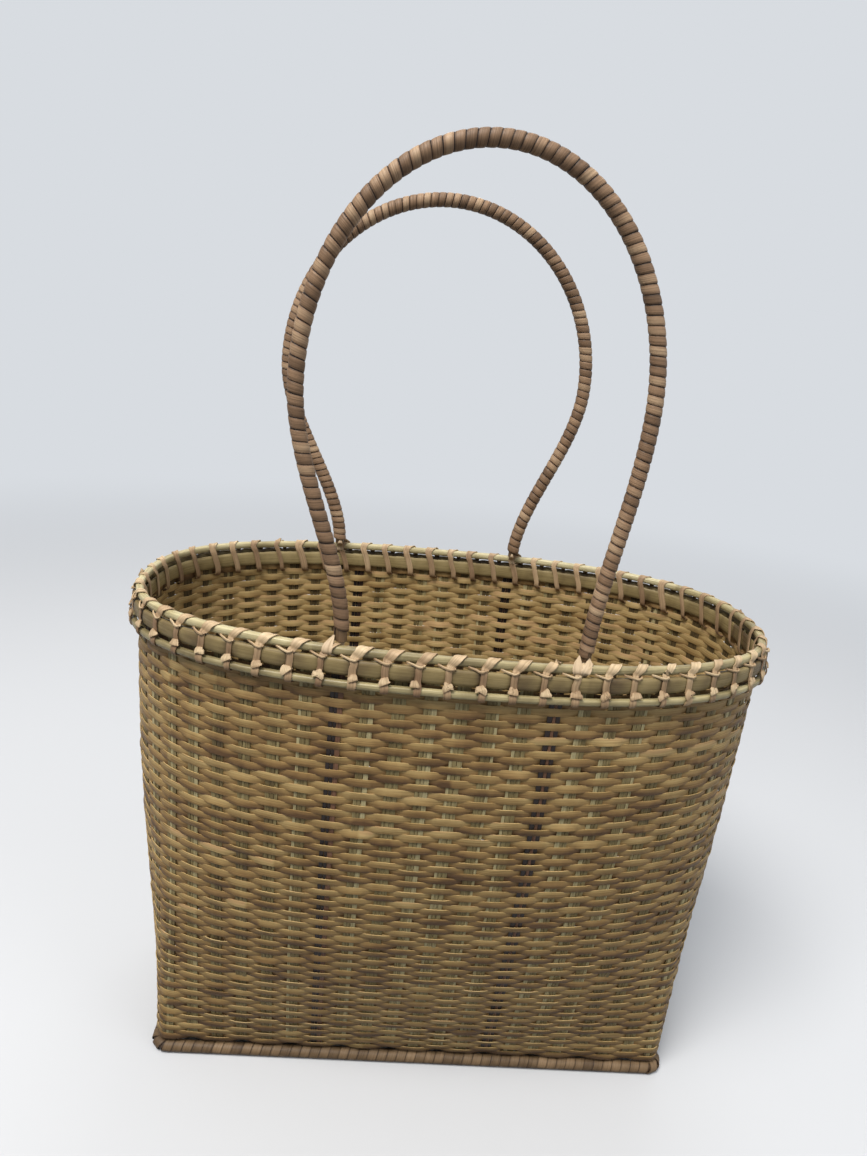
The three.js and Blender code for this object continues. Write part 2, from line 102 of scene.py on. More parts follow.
def spline(stops: Array, steps: int, ring: bool) -> Array:
    """Smooth curves through rows of stops.

    A cubic between each two stops passes through both, and its slope at each is half the step
    from the stop before to the stop after.

    Args:
        stops: Stops with their values, as (..., stops, values).
        steps: How many samples there are from one stop to the next.
        ring: Whether the last stop joins the first.

    Returns:
        The samples, as (..., samples, values).
    """
    if ring:
        before, here, after, beyond = (np.roll(stops, turn, axis=-2) for turn in (1, 0, -1, -2))
    else:
        first = 2 * stops[..., :1, :] - stops[..., 1:2, :]
        last = 2 * stops[..., -1:, :] - stops[..., -2:-1, :]
        padded = np.concatenate([first, stops, last], axis=-2)
        spans = stops.shape[-2] - 1
        before, here, after, beyond = (padded[..., start:start + spans, :] for start in range(4))
    t = (np.arange(steps) / steps)[:, None]
    before, here, after, beyond = (part[..., None, :] for part in (before, here, after, beyond))
    samples = here + 0.5 * t * (
        after - before
        + t * (2 * before - 5 * here + 4 * after - beyond)
        + t * t * (3 * here - before - 3 * after + beyond)
    )
    samples = samples.reshape(*stops.shape[:-2], -1, stops.shape[-1])
    return samples if ring else np.concatenate([samples, stops[..., -1:, :]], axis=-2)


def runs(rng: np.random.Generator, shape: tuple[int, int], mean_length: float) -> Array:
    """Random values that stay the same along a row for a while, then jump.

    Args:
        rng: Random source.
        shape: Rows and values in each.
        mean_length: Mean number of values between two jumps.

    Returns:
        Values of 0 to 1.
    """
    places = (rng.random(shape) < 1 / mean_length).cumsum(axis=1)
    values = rng.random((shape[0], int(places.max()) + 1))
    return np.take_along_axis(values, places, axis=1)


def ripple(rng: np.random.Generator, places: Array, waves: int, rows: int) -> Array:
    """Smooth random waves round a ring, one row for each of several rows.

    Each is a sum of sines that fit a whole number of times into the ring, lower ones stronger.

    Args:
        rng: Random source.
        places: Positions along the ring in shares of its length.
        waves: The highest number of waves to a ring.
        rows: How many rows are made.

    Returns:
        Values of about -1 to 1, as (rows, places).
    """
    count = np.arange(1, waves + 1)
    strength = rng.normal(size=(rows, waves)) / np.sqrt(count)
    phase = rng.random((rows, waves)) * TAU
    sines = np.sin(TAU * count[None, :, None] * places[None, None, :] + phase[:, :, None])
    total = (strength[:, :, None] * sines).sum(axis=1)
    return total / np.sqrt((1 / count).sum())


# Sections and strands


class Outline(Enum):
    """Outlines of a strand's section, each with how square it is and its number of points."""

    ROUND = (2.0, 12)
    SPLINT = (3.4, 8)
    STRIP = (4.5, 10)
    CANE = (3.1, 14)
    ROW = (9.0, 10)

    def points(self) -> Array:
        """Works out the outline: a circle's values, each raised to two over the squareness.

        Returns:
            Points on a unit square, against the clock, as (points, 2).
        """
        squareness, count = self.value
        angle = (np.arange(count) + 0.5) / count * TAU
        circle = np.stack([np.cos(angle), np.sin(angle)], axis=-1)
        return np.sign(circle) * np.abs(circle) ** (2 / squareness)


@dataclass
class Strands:
    """Strands of equal make.

    Attributes:
        points: Points of their sections in metres, as (strands, stops, points, 3).
        tone: How pale the strand is at each stop, 0 to 1, as (strands, stops), or at each point
            of each section, as (strands, stops, points).
        ring: Whether each strand's last stop joins its first.
    """

    points: Array
    tone: Array
    ring: bool = False

    @classmethod
    def swept(
        cls, middle: Array, wide: Array, thick: Array, outline: Outline, tone: Array, ring: bool = False
    ) -> "Strands":
        """Strands whose section is one outline all along.

        Each point is the middle plus the outline's two values times the wide and thick vectors.

        Args:
            middle: Middle lines in metres, as (strands, stops, 3).
            wide: Vectors from the middle to the edge of the section's width, of the same shape.
            thick: Vectors from the middle to the face of its thickness, of the same shape.
            outline: Outline of the section.
            tone: How pale the strand is at each stop.
            ring: Whether each strand's last stop joins its first.

        Returns:
            The strands.
        """
        shape = outline.points()
        across = wide[:, :, None] * shape[:, :1] + thick[:, :, None] * shape[:, 1:]
        return cls(middle[:, :, None] + across, tone, ring)

    def middle(self) -> Array:
        """Middles of the sections, as (strands, stops, 3)."""
        return self.points.mean(axis=2)

    def against_clock(self) -> Array:
        """Finds which way each strand's section runs, by the sign of its area as seen from ahead.

        Returns:
            True for each strand whose section runs against the clock.
        """
        middle = self.middle()
        stop = middle.shape[1] // 2
        ahead = middle[:, stop] - middle[:, stop - 1]
        spokes = self.points[:, stop] - middle[:, stop, None]
        area = np.cross(spokes, np.roll(spokes, -1, axis=1)).sum(axis=1)
        return (area * ahead).sum(axis=-1) > 0


class StrandMesh:
    """Collects strands in one mesh, with a UV map in metres along and round them and a tone at each point."""

    def __init__(self, seed: int) -> None:
        """Starts an empty mesh.

        Args:
            seed: Seed of the strands' random places on the UV map.
        """
        self.rng = np.random.default_rng(seed)
        self.points: list[Array] = []
        self.tones: list[Array] = []
        self.corners: list[Array] = []
        self.corner_uvs: list[Array] = []
        self.face_sizes: list[Array] = []
        self.count = 0

    def add(self, strands: Strands) -> "StrandMesh":
        """Adds strands as closed tubes of quads, with a face on each open end.

        Args:
            strands: The strands to add.

        Returns:
            The mesh itself, so that calls can follow each other.
        """
        rows, stops, sides, _ = strands.points.shape
        index = self.count + np.arange(rows * stops * sides).reshape(rows, stops, sides)
        spans = stops if strands.ring else stops - 1
        here = index[:, :spans]
        ahead = np.roll(index, -1, axis=1)[:, :spans]
        quads = np.stack([here, np.roll(here, -1, axis=2), np.roll(ahead, -1, axis=2), ahead], axis=-1)

        along, around = self._distances(strands)
        u = np.stack([along[:, :-1], along[:, :-1], along[:, 1:], along[:, 1:]], axis=-1)
        v = np.stack([around[:, :-1], around[:, 1:], around[:, 1:], around[:, :-1]], axis=-1)
        uvs = np.stack(np.broadcast_arrays(u[:, :spans, None], v[:, None]), axis=-1)

        facing = strands.against_clock()
        quads = np.where(facing[:, None, None, None], quads, quads[..., ::-1])
        uvs = np.where(facing[:, None, None, None, None], uvs, uvs[..., ::-1, :])
        self._faces(quads.reshape(-1, 4), uvs.reshape(-1, 4, 2))
        if not strands.ring:
            for end, forward in ((0, False), (-1, True)):
                cap = index[:, end]
                cap = np.where((facing == forward)[:, None], cap, cap[:, ::-1])
                flat = np.stack([along[:, :1] + 0 * around[:, :-1], around[:, :-1]], axis=-1)
                self._faces(cap, flat)
        self.points.append(strands.points.reshape(-1, 3))
        tone = strands.tone if strands.tone.ndim == 3 else strands.tone[..., None]
        self.tones.append(np.broadcast_to(tone, strands.points.shape[:3]).ravel())
        self.count += rows * stops * sides
        return self

    def _distances(self, strands: Strands) -> tuple[Array, Array]:
        """Works out distances along each strand and round its section, each from a random start.

        Args:
            strands: The strands.

        Returns:
            Distances at the stops and back at the first, as (strands, stops + 1), and the same for
            the points of each strand's middle section.
        """
        middle = strands.middle()
        rows, stops, _ = middle.shape
        steps = np.linalg.norm(np.roll(middle, -1, axis=1) - middle, axis=-1)
        along = np.concatenate([np.zeros((rows, 1)), steps.cumsum(axis=1)], axis=1)
        section = strands.points[:, stops // 2]
        sides = np.linalg.norm(np.roll(section, -1, axis=1) - section, axis=-1)
        around = np.concatenate([np.zeros((rows, 1)), sides.cumsum(axis=1)], axis=1)
        shift = self.rng.random((2, rows, 1))
        return along + shift[0], around + shift[1]

    def _faces(self, corners: Array, uvs: Array) -> None:
        """Keeps faces of one size.

        Args:
            corners: Point numbers, one row for each face.
            uvs: Places on the UV map, in the same order.
        """
        self.corners.append(corners.ravel())
        self.corner_uvs.append(uvs.reshape(-1, 2))
        self.face_sizes.append(np.full(len(corners), corners.shape[1]))

    def build(self, name: str, material: bpy.types.Material, sharp: float = 50.0) -> bpy.types.Object:
        """Makes the Blender object.

        Args:
            name: Name of the object and its mesh.
            material: The material of all its faces.
            sharp: Angle in degrees over which an edge shows as sharp.

        Returns:
            The object, at the origin.
        """
        sizes = np.concatenate(self.face_sizes)
        corners = np.concatenate(self.corners)
        mesh = bpy.data.meshes.new(name)
        mesh.vertices.add(self.count)
        mesh.vertices.foreach_set("co", np.concatenate(self.points).astype(np.float32).ravel())
        mesh.loops.add(len(corners))
        mesh.loops.foreach_set("vertex_index", corners.astype(np.int32))
        mesh.polygons.add(len(sizes))
        mesh.polygons.foreach_set("loop_start", (sizes.cumsum() - sizes).astype(np.int32))
        mesh.polygons.foreach_set("use_smooth", np.ones(len(sizes), bool))
        uv_map = mesh.uv_layers.new(name="UVMap")
        uv_map.data.foreach_set("uv", np.concatenate(self.corner_uvs).astype(np.float32).ravel())
        tone = mesh.attributes.new("tone", "FLOAT", "POINT")
        tone.data.foreach_set("value", np.concatenate(self.tones).astype(np.float32))
        mesh.update(calc_edges=True)
        mesh.set_sharp_from_angle(angle=math.radians(sharp))
        mesh.materials.append(material)
        return shown(name, mesh)


def shown(name: str, data: bpy.types.ID) -> bpy.types.Object:
    """Puts data into the scene.

    Args:
        name: Name of its object.
        data: A mesh, a light or a camera.

    Returns:
        The new object, at the origin.
    """
    made = bpy.data.objects.new(name, data)
    bpy.context.scene.collection.objects.link(made)
    return made


# Finishes


class ShaderTree:
    """The node tree of one material or world, with a short way to add and link nodes."""

    def __init__(self, owner: bpy.types.Material | bpy.types.World) -> None:
        """Starts with an empty tree.

        Args:
            owner: The material or world.
        """
        owner.use_nodes = True
        self.owner = owner
        self.tree = owner.node_tree
        self.tree.nodes.clear()

    def add(self, kind: str, inputs: dict[str | int, object], **settings: object) -> bpy.types.Node:
        """Adds a node.

        Args:
            kind: Its type, without the word ShaderNode in front.
            inputs: Values or output sockets by the name or number of the input.
            settings: Properties of the node.

        Returns:
            The new node.
        """
        node = self.tree.nodes.new("ShaderNode" + kind)
        for key, value in settings.items():
            setattr(node, key, value)
        for key, value in inputs.items():
            if isinstance(value, bpy.types.NodeSocket):
                self.tree.links.new(value, node.inputs[key])
            else:
                node.inputs[key].default_value = value
        return node

    def ramp(self, factor: bpy.types.NodeSocket, stops: list[tuple[float, Colour]]) -> bpy.types.NodeSocket:
        """Adds a colour ramp.

        Args:
            factor: Socket that chooses the colour.
            stops: Places of 0 to 1 with their linear colours.

        Returns:
            Its colour output.
        """
        node = self.add("ValToRGB", {"Fac": factor})
        elements = node.color_ramp.elements
        while len(elements) < len(stops):
            elements.new(0.5)
        for element, (position, colour) in zip(elements, stops):
            element.position = position
            element.color = (*colour, 1)
        return node.outputs["Color"]

    def mapped(
        self, value: bpy.types.NodeSocket, source: Span, target: Span, **settings: object
    ) -> bpy.types.NodeSocket:
        """Adds a node that takes one range of values to another.

        Args:
            value: The socket to map.
            source: Both ends of its range.
            target: What these ends become.
            settings: Properties of the node.

        Returns:
            The mapped value.
        """
        ends = {"From Min": source[0], "From Max": source[1], "To Min": target[0], "To Max": target[1]}
        return self.add("MapRange", {"Value": value, **ends}, **settings).outputs["Result"]

    def seen(self) -> bpy.types.NodeSocket:
        """Adds nodes for the rays that show a surface or the sky as it is.

        Returns:
            1 for camera, glossy and transmission rays, and 0 for the others.
        """
        path = self.add("LightPath", {})
        rays = path.outputs["Is Camera Ray"]
        for kind in ("Is Glossy Ray", "Is Transmission Ray"):
            rays = self.add("Math", {0: rays, 1: path.outputs[kind]}, operation="MAXIMUM").outputs["Value"]
        return rays


@dataclass(frozen=True)
class Fibres:
    """What the look of all canes has in common.

    Attributes:
        detail: Detail of the fibre noise.
        grain: Roughness of the fibre noise.
        dark: Fibre noise at which a streak is darkest, and at which it ends.
        tint: What a streak leaves of red, green and blue, besides its own depth.
        rough: Fibre noise at which the cane is roughest, and at which it is smooth.
        rougher: How much rougher the roughest fibres are.
        depth: Depth of the relief in metres.
        patches: Number of soft patches to a metre.
        patch_detail: Detail of their noise.
        patch_range: Their noise at which the tone shifts furthest down and up.
        shine: Specular level of the cane.
        skin: Roughness of the clear skin.
    """

    detail: float = 4.0
    grain: float = 0.6
    dark: Span = (0.34, 0.58)
    tint: Colour = (1.0, 0.97, 0.92)
    rough: Span = (0.35, 0.65)
    rougher: float = 0.2
    depth: float = 0.0004
    patches: float = 60.0
    patch_detail: float = 3.0
    patch_range: Span = (0.3, 0.7)
    shine: float = 0.35
    skin: float = 0.25


@dataclass(frozen=True)
class CaneFinish:
    """Look of one kind of cane, split cane or strip.

    Attributes:
        slot: The record's material slot, which is also the material's name.
        tones: Colours from the darkest strand to the palest, sRGB of 0 to 255.
        streak_depth: How far the darkest fibre streaks darken the colour, 0 to 1.
        streak_length: Length of a streak in metres.
        streak_width: Width of a streak in metres.
        mottling: How far patches shift the tone, 0 to 1.
        roughness: Roughness of the smooth parts.
        relief: Strength of the fibre relief.
        gloss: Weight of a clear skin over the cane.
    """

    slot: str
    tones: tuple[Colour, ...]
    streak_depth: float = 0.35
    streak_length: float = 0.03
    streak_width: float = 0.0006
    mottling: float = 0.25
    roughness: float = 0.5
    relief: float = 0.3
    gloss: float = 0.0
    fibres: Fibres = Fibres()

    def material(self) -> bpy.types.Material:
        """Makes the material.

        The tone attribute and soft patches choose a colour between the tones, and noise stretched
        along the strand darkens, roughens and dents it in fibres.

        Returns:
            The material, named as its slot.
        """
        look = self.fibres
        tree = ShaderTree(bpy.data.materials.new(self.slot))
        flat = tree.add("UVMap", {}, uv_map="UVMap").outputs["UV"]
        stretch = (1 / self.streak_length, 1 / self.streak_width, 1)
        along = tree.add("Mapping", {"Vector": flat, "Scale": stretch}).outputs["Vector"]
        noise = {"Vector": along, "Scale": 1.0, "Detail": look.detail, "Roughness": look.grain}
        fibre = tree.add("TexNoise", noise).outputs["Fac"]
        spot = tree.add("TexCoord", {}).outputs["Object"]
        soft = {"Vector": spot, "Scale": look.patches, "Detail": look.patch_detail}
        patch = tree.add("TexNoise", soft).outputs["Fac"]
        tone = tree.add("Attribute", {}, attribute_name="tone").outputs["Fac"]
        shift = tree.mapped(patch, look.patch_range, (-self.mottling, self.mottling))
        shade = tree.add("Math", {0: tone, 1: shift}, use_clamp=True).outputs["Value"]
        places = np.linspace(0, 1, len(self.tones)).tolist()
        base = tree.ramp(shade, [(place, linear(colour)) for place, colour in zip(places, self.tones)])
        streak = tuple((1 - self.streak_depth) * share for share in look.tint)
        streaks = tree.ramp(fibre, [(look.dark[0], streak), (look.dark[1], (1, 1, 1))])
        colour = tree.add("Mix", {0: 1.0, 6: base, 7: streaks}, data_type="RGBA", blend_type="MULTIPLY")
        rough = (min(1.0, self.roughness + look.rougher), self.roughness)
        bump = tree.add("Bump", {"Height": fibre, "Strength": self.relief, "Distance": look.depth})
        shader = tree.add(
            "BsdfPrincipled",
            {
                "Base Color": colour.outputs[2],
                "Roughness": tree.mapped(fibre, look.rough, rough),
                "Normal": bump.outputs["Normal"],
                "Specular IOR Level": look.shine,
                "Coat Weight": self.gloss,
                "Coat Roughness": look.skin,
            },
        )
        tree.add("OutputMaterial", {"Surface": shader.outputs["BSDF"]})
        return tree.owner


# The tones below also carry painted light: tan_weave's darker tones paint shade behind the rim and on the
# rows' lower edges and outer faces, and its paler ones paint highlights on their upper edges and light on
# their inner faces; the stakes' darkest tones paint shade on their inner faces; the rim's finishes darken
# into painted shade beside the lashing; the darkest tones of handle_wrap and rail_cane paint shade in the
# creases between turns.
FINISHES = (
    CaneFinish(
        "tan_weave",
        ((82, 58, 32), (130, 102, 62), (152, 126, 80), (170, 146, 98), (178, 146, 102)),
        mottling=0.16,
    ),
    CaneFinish(
        "pale_stake",
        ((74, 60, 34), (112, 98, 62), (138, 125, 86), (168, 157, 118)),
        streak_depth=0.45,
    ),
    CaneFinish(
        "dark_stake",
        ((20, 10, 6), (34, 18, 10), (52, 29, 17), (128, 92, 68)),
        streak_depth=0.4,
        mottling=0.08,
    ),
    CaneFinish(
        "green_cane",
        ((104, 92, 62), (140, 128, 92), (168, 156, 116), (188, 178, 140)),
        roughness=0.38,
        gloss=0.15,
    ),
    CaneFinish(
        "olive_hoop",
        ((78, 62, 40), (128, 112, 74), (152, 136, 96)),
        streak_depth=0.3,
        roughness=0.42,
    ),
    CaneFinish(
        "peach_lashing",
        ((76, 52, 36), (126, 100, 74), (166, 140, 108), (194, 172, 138)),
        streak_width=0.0008,
        mottling=0.12,
    ),
    CaneFinish(
        "handle_wrap",
        ((36, 23, 15), (102, 78, 56), (138, 110, 84), (174, 148, 118)),
        streak_depth=0.5,
        mottling=0.12,
        streak_width=0.0005,
        streak_length=0.02,
    ),
    CaneFinish("handle_core", ((70, 52, 36), (104, 82, 58), (128, 104, 76)), streak_depth=0.4),
    CaneFinish("white_tie", ((136, 112, 84), (178, 156, 126), (204, 182, 152)), streak_depth=0.3),
    CaneFinish("rail_cane", ((60, 44, 30), (98, 78, 54), (134, 110, 82))),
)


# The wall's shape


@dataclass(frozen=True)
class WallShape:
    """Middle of the woven wall, by place round it and height.

    Places count stakes from the left end of the front wall, against the clock from above. The wall
    goes from the base outline to the mouth in a bulge: its share of the way is the share of the
    height plus the bulge times the sine of half a turn of that share.
    """

    mouth_width: float = 0.380
    mouth_depth: float = 0.205
    roundness: float = 2.5
    rim_height: float = 0.310
    base_width: float = 0.339
    base_depth: float = 0.125
    corner_radius: float = 0.008
    bulge: float = 0.36
    base_level: float = 0.0083
    cross_stakes: int = 21
    long_stakes: int = 9
    samples: int = 6001

    @property
    def total(self) -> int:
        """Number of stakes round the wall."""
        return 2 * (self.cross_stakes + self.long_stakes)

    def _mouth_table(self) -> tuple[Array, Array]:
        """Samples the mouth, from the middle of the front wall round.

        Returns:
            Points of the superellipse, and the share of its length to each.
        """
        angle = np.linspace(-math.pi / 2, 1.5 * math.pi, self.samples)
        circle = np.stack([np.cos(angle), np.sin(angle)], axis=-1)
        half = np.array([self.mouth_width, self.mouth_depth]) / 2
        points = half * np.sign(circle) * np.abs(circle) ** (2 / self.roundness)
        length = lengths(points)
        return points, length / length[-1]

    def mouth(self, place: Array) -> Array:
        """Finds points of the mouth, evenly spaced along a superellipse.

        Args:
            place: Places round the wall.

        Returns:
            Points as (..., 2).
        """
        points, share = self._mouth_table()
        wanted = ((np.asarray(place, float) - (self.cross_stakes - 1) / 2) / self.total) % 1
        return between(wanted, share, points)

    def base(self, place: Array) -> Array:
        """Finds points of the base outline: straight sides with a quarter round between them.

        Args:
            place: Places round the wall.

        Returns:
            Points as (..., 2).
        """
        half = self.total / 2
        place = np.asarray(place, float) % self.total
        local = place % half
        turned = np.where(place >= half, -1.0, 1.0)
        reach = np.array([self.base_width, self.base_depth]) / 2
        straight = reach - self.corner_radius
        first, second = self.cross_stakes - 1, self.cross_stakes + self.long_stakes - 1
        near = np.clip(local - first, 0, 1) * math.pi / 2
        far = np.clip(local - second, 0, 1) * math.pi / 2
        x = straight[0] * (2 * np.clip(local / first, 0, 1) - 1)
        x = x + self.corner_radius * (np.sin(near) - 1 + np.cos(far))
        side = np.clip((local - first - 1) / (self.long_stakes - 1), 0, 1)
        y = straight[1] * (2 * side - 1) - self.corner_radius * (np.cos(near) - np.sin(far))
        return np.stack([x, y], axis=-1) * turned[..., None]

    def middle(self, place: Array, height: Array) -> Array:
        """Finds points of the wall's middle.

        Args:
            place: Places round the wall.
            height: Heights in metres, in the same shape.

        Returns:
            Points as (..., 2).
        """
        share = np.clip((height - self.base_level) / (self.rim_height - self.base_level), 0, 1)
        share = share + self.bulge * np.sin(math.pi * share)
        base, mouth = self.base(place), self.mouth(place)
        return base + (mouth - base) * share[..., None]

    def point(self, place: Array, offset: Array, height: Array) -> Array:
        """Points that stand off the wall's middle by a level offset, positive outwards.

        Args:
            place: Places round the wall.
            offset: Offsets in metres.
            height: Heights in metres.

        Returns:
            Points as (..., 3), in the broadcast shape of the three arguments.
        """
        place, offset, height = np.broadcast_arrays(*(np.asarray(x, float) for x in (place, offset, height)))
        step = 0.4
        line = self.middle(place + step, height) - self.middle(place - step, height)
        normal = unit(np.stack([line[..., 1], -line[..., 0]], axis=-1))
        level = self.middle(place, height) + offset[..., None] * normal
        return np.concatenate([level, height[..., None]], axis=-1)

    def along(self, place: Array, height: Array, step: float) -> Array:
        """Directions along the wall, over a step to either side of places at heights."""
        return unit(self.point(place + step, 0.0, height) - self.point(place - step, 0.0, height))

    def ring(
        self, places: Array, offset: Array, height: Array, wide: Array, thick: Array, **rest: object
    ) -> Strands:
        """A strand round the wall whose width stands upright and whose thickness faces out.

        Args:
            places: Places of its stops round the whole ring.
            offset: Offset of its middle at each stop, or one for all.
            height: Height of its middle at each stop, or one for all.
            wide: Half its height.
            thick: Half its thickness.
            rest: The strands' outline and tone.

        Returns:
            The strand, as a ring.
        """
        middle = self.point(places, offset, height)
        out = outward(ahead_of(middle, True))
        up = np.broadcast_to([0.0, 0.0, 1.0], out.shape)
        wide, thick = (np.broadcast_to(size, len(places))[:, None] for size in (wide, thick))
        return Strands.swept(middle[None], (wide * up)[None], (thick * out)[None], ring=True, **rest)


# Sub-assemblies


class Assembly:
    """A sub-assembly of the tote whose pieces ride on one body."""

    body = "basket"

    def __init__(self, wall: WallShape, materials: dict[str, bpy.types.Material]) -> None:
        """Keeps what all pieces are made from.

        Args:
            wall: Shape of the wall.
            materials: Materials by the record's slot.
        """
        self.wall = wall
        self.materials = materials

    def piece(self, mesh: StrandMesh, name: str, slot: str, *nodes: str) -> None:
        """Makes one piece and seats it on the assembly's body.

        Args:
            mesh: Its strands.
            name: Its name.
            slot: The record's slot that it takes its finish from.
            nodes: The CAD nodes that it stands for.
        """
        made = mesh.build(name, self.materials[slot])
        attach(made, self.body)
        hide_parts(*nodes)
        log.info("%s: %d faces on %s", name, len(made.data.polygons), self.body)


@dataclass(frozen=True)
class WeaveSizes:
    """Sizes of the rows of the wall, in metres.

    Attributes:
        bottom: Level under the lowest row.
        top: Level over the highest row.
        bands: Number of pieces the rows are made in, one for each band of the frame.
        rows: Rows in each band.
        widening: How much further apart the highest rows lie than the lowest, as a share.
        steps: Stops of a row from one stake to the next.
        height: Height of a strand where it passes a stake.
        spread: How much higher a strand is between two stakes, as a share.
        thickness: Thickness of a strand.
        outward: How far a row's middle stands off the wall's middle where it passes outside a stake.
        between: The same halfway between two stakes.
        inward: How far it stands inside the wall's middle where it passes inside a stake.
        flat: Share of the stake spacing either side of a stake over which a row keeps its swing.
        turn: Powers of its way to the point halfway between two stakes, from outside and from inside.
        uneven: How much the swing differs from stake to stake, as a share.
        roll: How much a strand leans from stake to stake, in radians.
        drift: How far a wave that all rows share moves them up and down.
        waver: How far each row's own wave moves it.
        swell: How much a strand's height wavers along it, as a share.
        waves: Highest number of waves round the wall, for the drift, the waver and the swell.
        clear: Share of a strand's height that its middle keeps from the rows' top and bottom.
        hidden: Level over which the rows lie behind the rim and are painted darker, as painted shade under
            the rim.
    """

    bottom: float = 0.0104
    top: float = 0.2962
    bands: int = 6
    rows: int = 12
    widening: float = 0.12
    steps: int = 8
    height: float = 0.00435
    spread: float = 0.02
    thickness: float = 0.0006
    outward: float = 0.0006
    between: float = 0.0003
    inward: float = 0.0009
    flat: float = 0.21
    turn: Span = (1.3, 0.55)
    uneven: float = 0.12
    roll: float = 0.12
    drift: float = 0.0003
    waver: float = 0.00016
    swell: float = 0.04
    waves: tuple[int, int, int] = (14, 60, 30)
    clear: float = 0.45
    hidden: float = 0.2925


@dataclass(frozen=True)
class WeaveTones:
    """Tones of the rows of the wall, 0 to 1.

    Attributes:
        bottom: Tone at the foot of the wall.
        climb: How much paler the rows are at its top.
        strands: Spread of the tone from strand to strand, and the mean length of a strand in stops.
        patches: The same for short patches.
        odd: Share of the rows in strands that stand out, their mean length in stops, and their tone.
        shade: How much darker the rows behind the rim are painted: painted shade under the rim.
        edge: How much paler the upper edge of a strand is painted, and its lower edge darker: painted
            highlight and painted shade.
        face: How much paler its inner face is painted, and its outer face darker: painted light inside the
            tote and painted shade outside.
    """

    bottom: float = 0.4
    climb: float = 0.14
    strands: tuple[float, int] = (0.42, 130)
    patches: tuple[float, int] = (0.12, 9)
    odd: tuple[float, int, float] = (0.02, 24, 0.95)
    shade: float = 0.5
    edge: float = 0.2
    face: float = 0.16


class WovenWall(Assembly):
    """The wall's rows: flat strands that pass outside one stake and inside the next."""

    sizes = WeaveSizes()
    tones = WeaveTones()

    def build(self) -> None:
        """Builds one piece of rows for each band of the frame."""
        for band in range(self.sizes.bands):
            mesh = StrandMesh(seed=40 + band).add(self._rows(band))
            self.piece(mesh, f"wall_rows_{band + 1:02d}", "tan_weave", f"weft_band_{band + 1:02d}")

    def _rows(self, band: int) -> Strands:
        """Makes the rows of one band.

        A row's offset holds near a stake, outside one and inside the next, and goes to one small
        offset halfway between them. Its level is a share of the wall's height that grows with the
        square of the row's number as well, and wanders with a ripple that neighbours share and a
        smaller one of its own. A strand's height follows the pitch of the rows at its level.

        Args:
            band: Number of the band, from the bottom.

        Returns:
            The rows, as rings.
        """
        sizes, wall = self.sizes, self.wall
        rng = np.random.default_rng(100 + band)
        row = band * sizes.rows + np.arange(sizes.rows)
        share = (row + 0.5) / (sizes.bands * sizes.rows)
        climbed = share * (1 + sizes.widening * (share - 1) / 2)
        pitch = 1 + sizes.widening * (share - 0.5)
        level = sizes.bottom + (sizes.top - sizes.bottom) * climbed[:, None]
        places = np.arange(wall.total * sizes.steps) / sizes.steps
        around = places / wall.total
        stake = np.rint(places).astype(int)
        climb = np.clip((np.abs(places - stake) - sizes.flat) / (0.5 - sizes.flat), 0, 1)
        outside = (row[:, None] + stake[None, :]) % 2 == 0
        profile = 1 - climb ** np.where(outside, *sizes.turn)
        swing = 1 + sizes.uneven * rng.normal(size=(sizes.rows, wall.total))
        held = np.where(outside, sizes.outward, -sizes.inward) * swing[:, stake % wall.total]
        offset = held * profile + sizes.between * (1 - profile)

        drift_waves, waver_waves, swell_waves = sizes.waves
        drift = sizes.drift * ripple(np.random.default_rng(7), around, drift_waves, 1)
        height = level + drift + sizes.waver * ripple(rng, around, waver_waves, sizes.rows)
        inset = sizes.clear * sizes.height
        height = np.clip(height, sizes.bottom + inset, sizes.top - inset)
        middle = wall.point(places[None], offset, height)
        up = unit(wall.point(places[None], offset, height + MM) - middle)
        out = unit(np.cross(ahead_of(middle, True), up))
        roll = sizes.roll * rng.normal(size=(sizes.rows, wall.total))[:, stake % wall.total] * profile
        wide = np.cos(roll)[..., None] * up + np.sin(roll)[..., None] * out
        thick = np.cos(roll)[..., None] * out - np.sin(roll)[..., None] * up
        swell = sizes.swell * ripple(rng, around, swell_waves, sizes.rows)
        half = sizes.height / 2 * pitch[:, None] * (1 + sizes.spread * (1 - profile) + swell)
        # Rows behind the rim are painted darker: painted shade under the rim.
        tone = self._tones(rng, share[:, None], offset.shape) - self.tones.shade * (level > sizes.hidden)
        # The upper edge of each strand is painted paler and the lower edge darker: painted highlight and
        # painted shade.
        across, through = Outline.ROW.points().T
        # The inner face is painted paler and the outer face darker: painted light inside the tote and painted
        # shade outside.
        edges = self.tones.edge * across - self.tones.face * through
        wide, thick = wide * half[..., None], thick * sizes.thickness / 2
        return Strands.swept(middle, wide, thick, Outline.ROW, tone[..., None] + edges, ring=True)

    def _tones(self, rng: np.random.Generator, share: Array, shape: tuple[int, int]) -> Array:
        """Chooses how pale the rows are: by height, by strand and by patch, with a few odd strands.

        Args:
            rng: Random source.
            share: Share of the wall's rows below each row.
            shape: Rows and stops in each.

        Returns:
            The tone at each stop of each row.
        """
        tones = self.tones
        tone = tones.bottom + tones.climb * share
        for spread, length in (tones.strands, tones.patches):
            tone = tone + spread * (runs(rng, shape, length) - 0.5)
        odd_share, odd_length, odd_tone = tones.odd
        return np.where(runs(rng, shape, odd_length) > 1 - odd_share, odd_tone, tone)


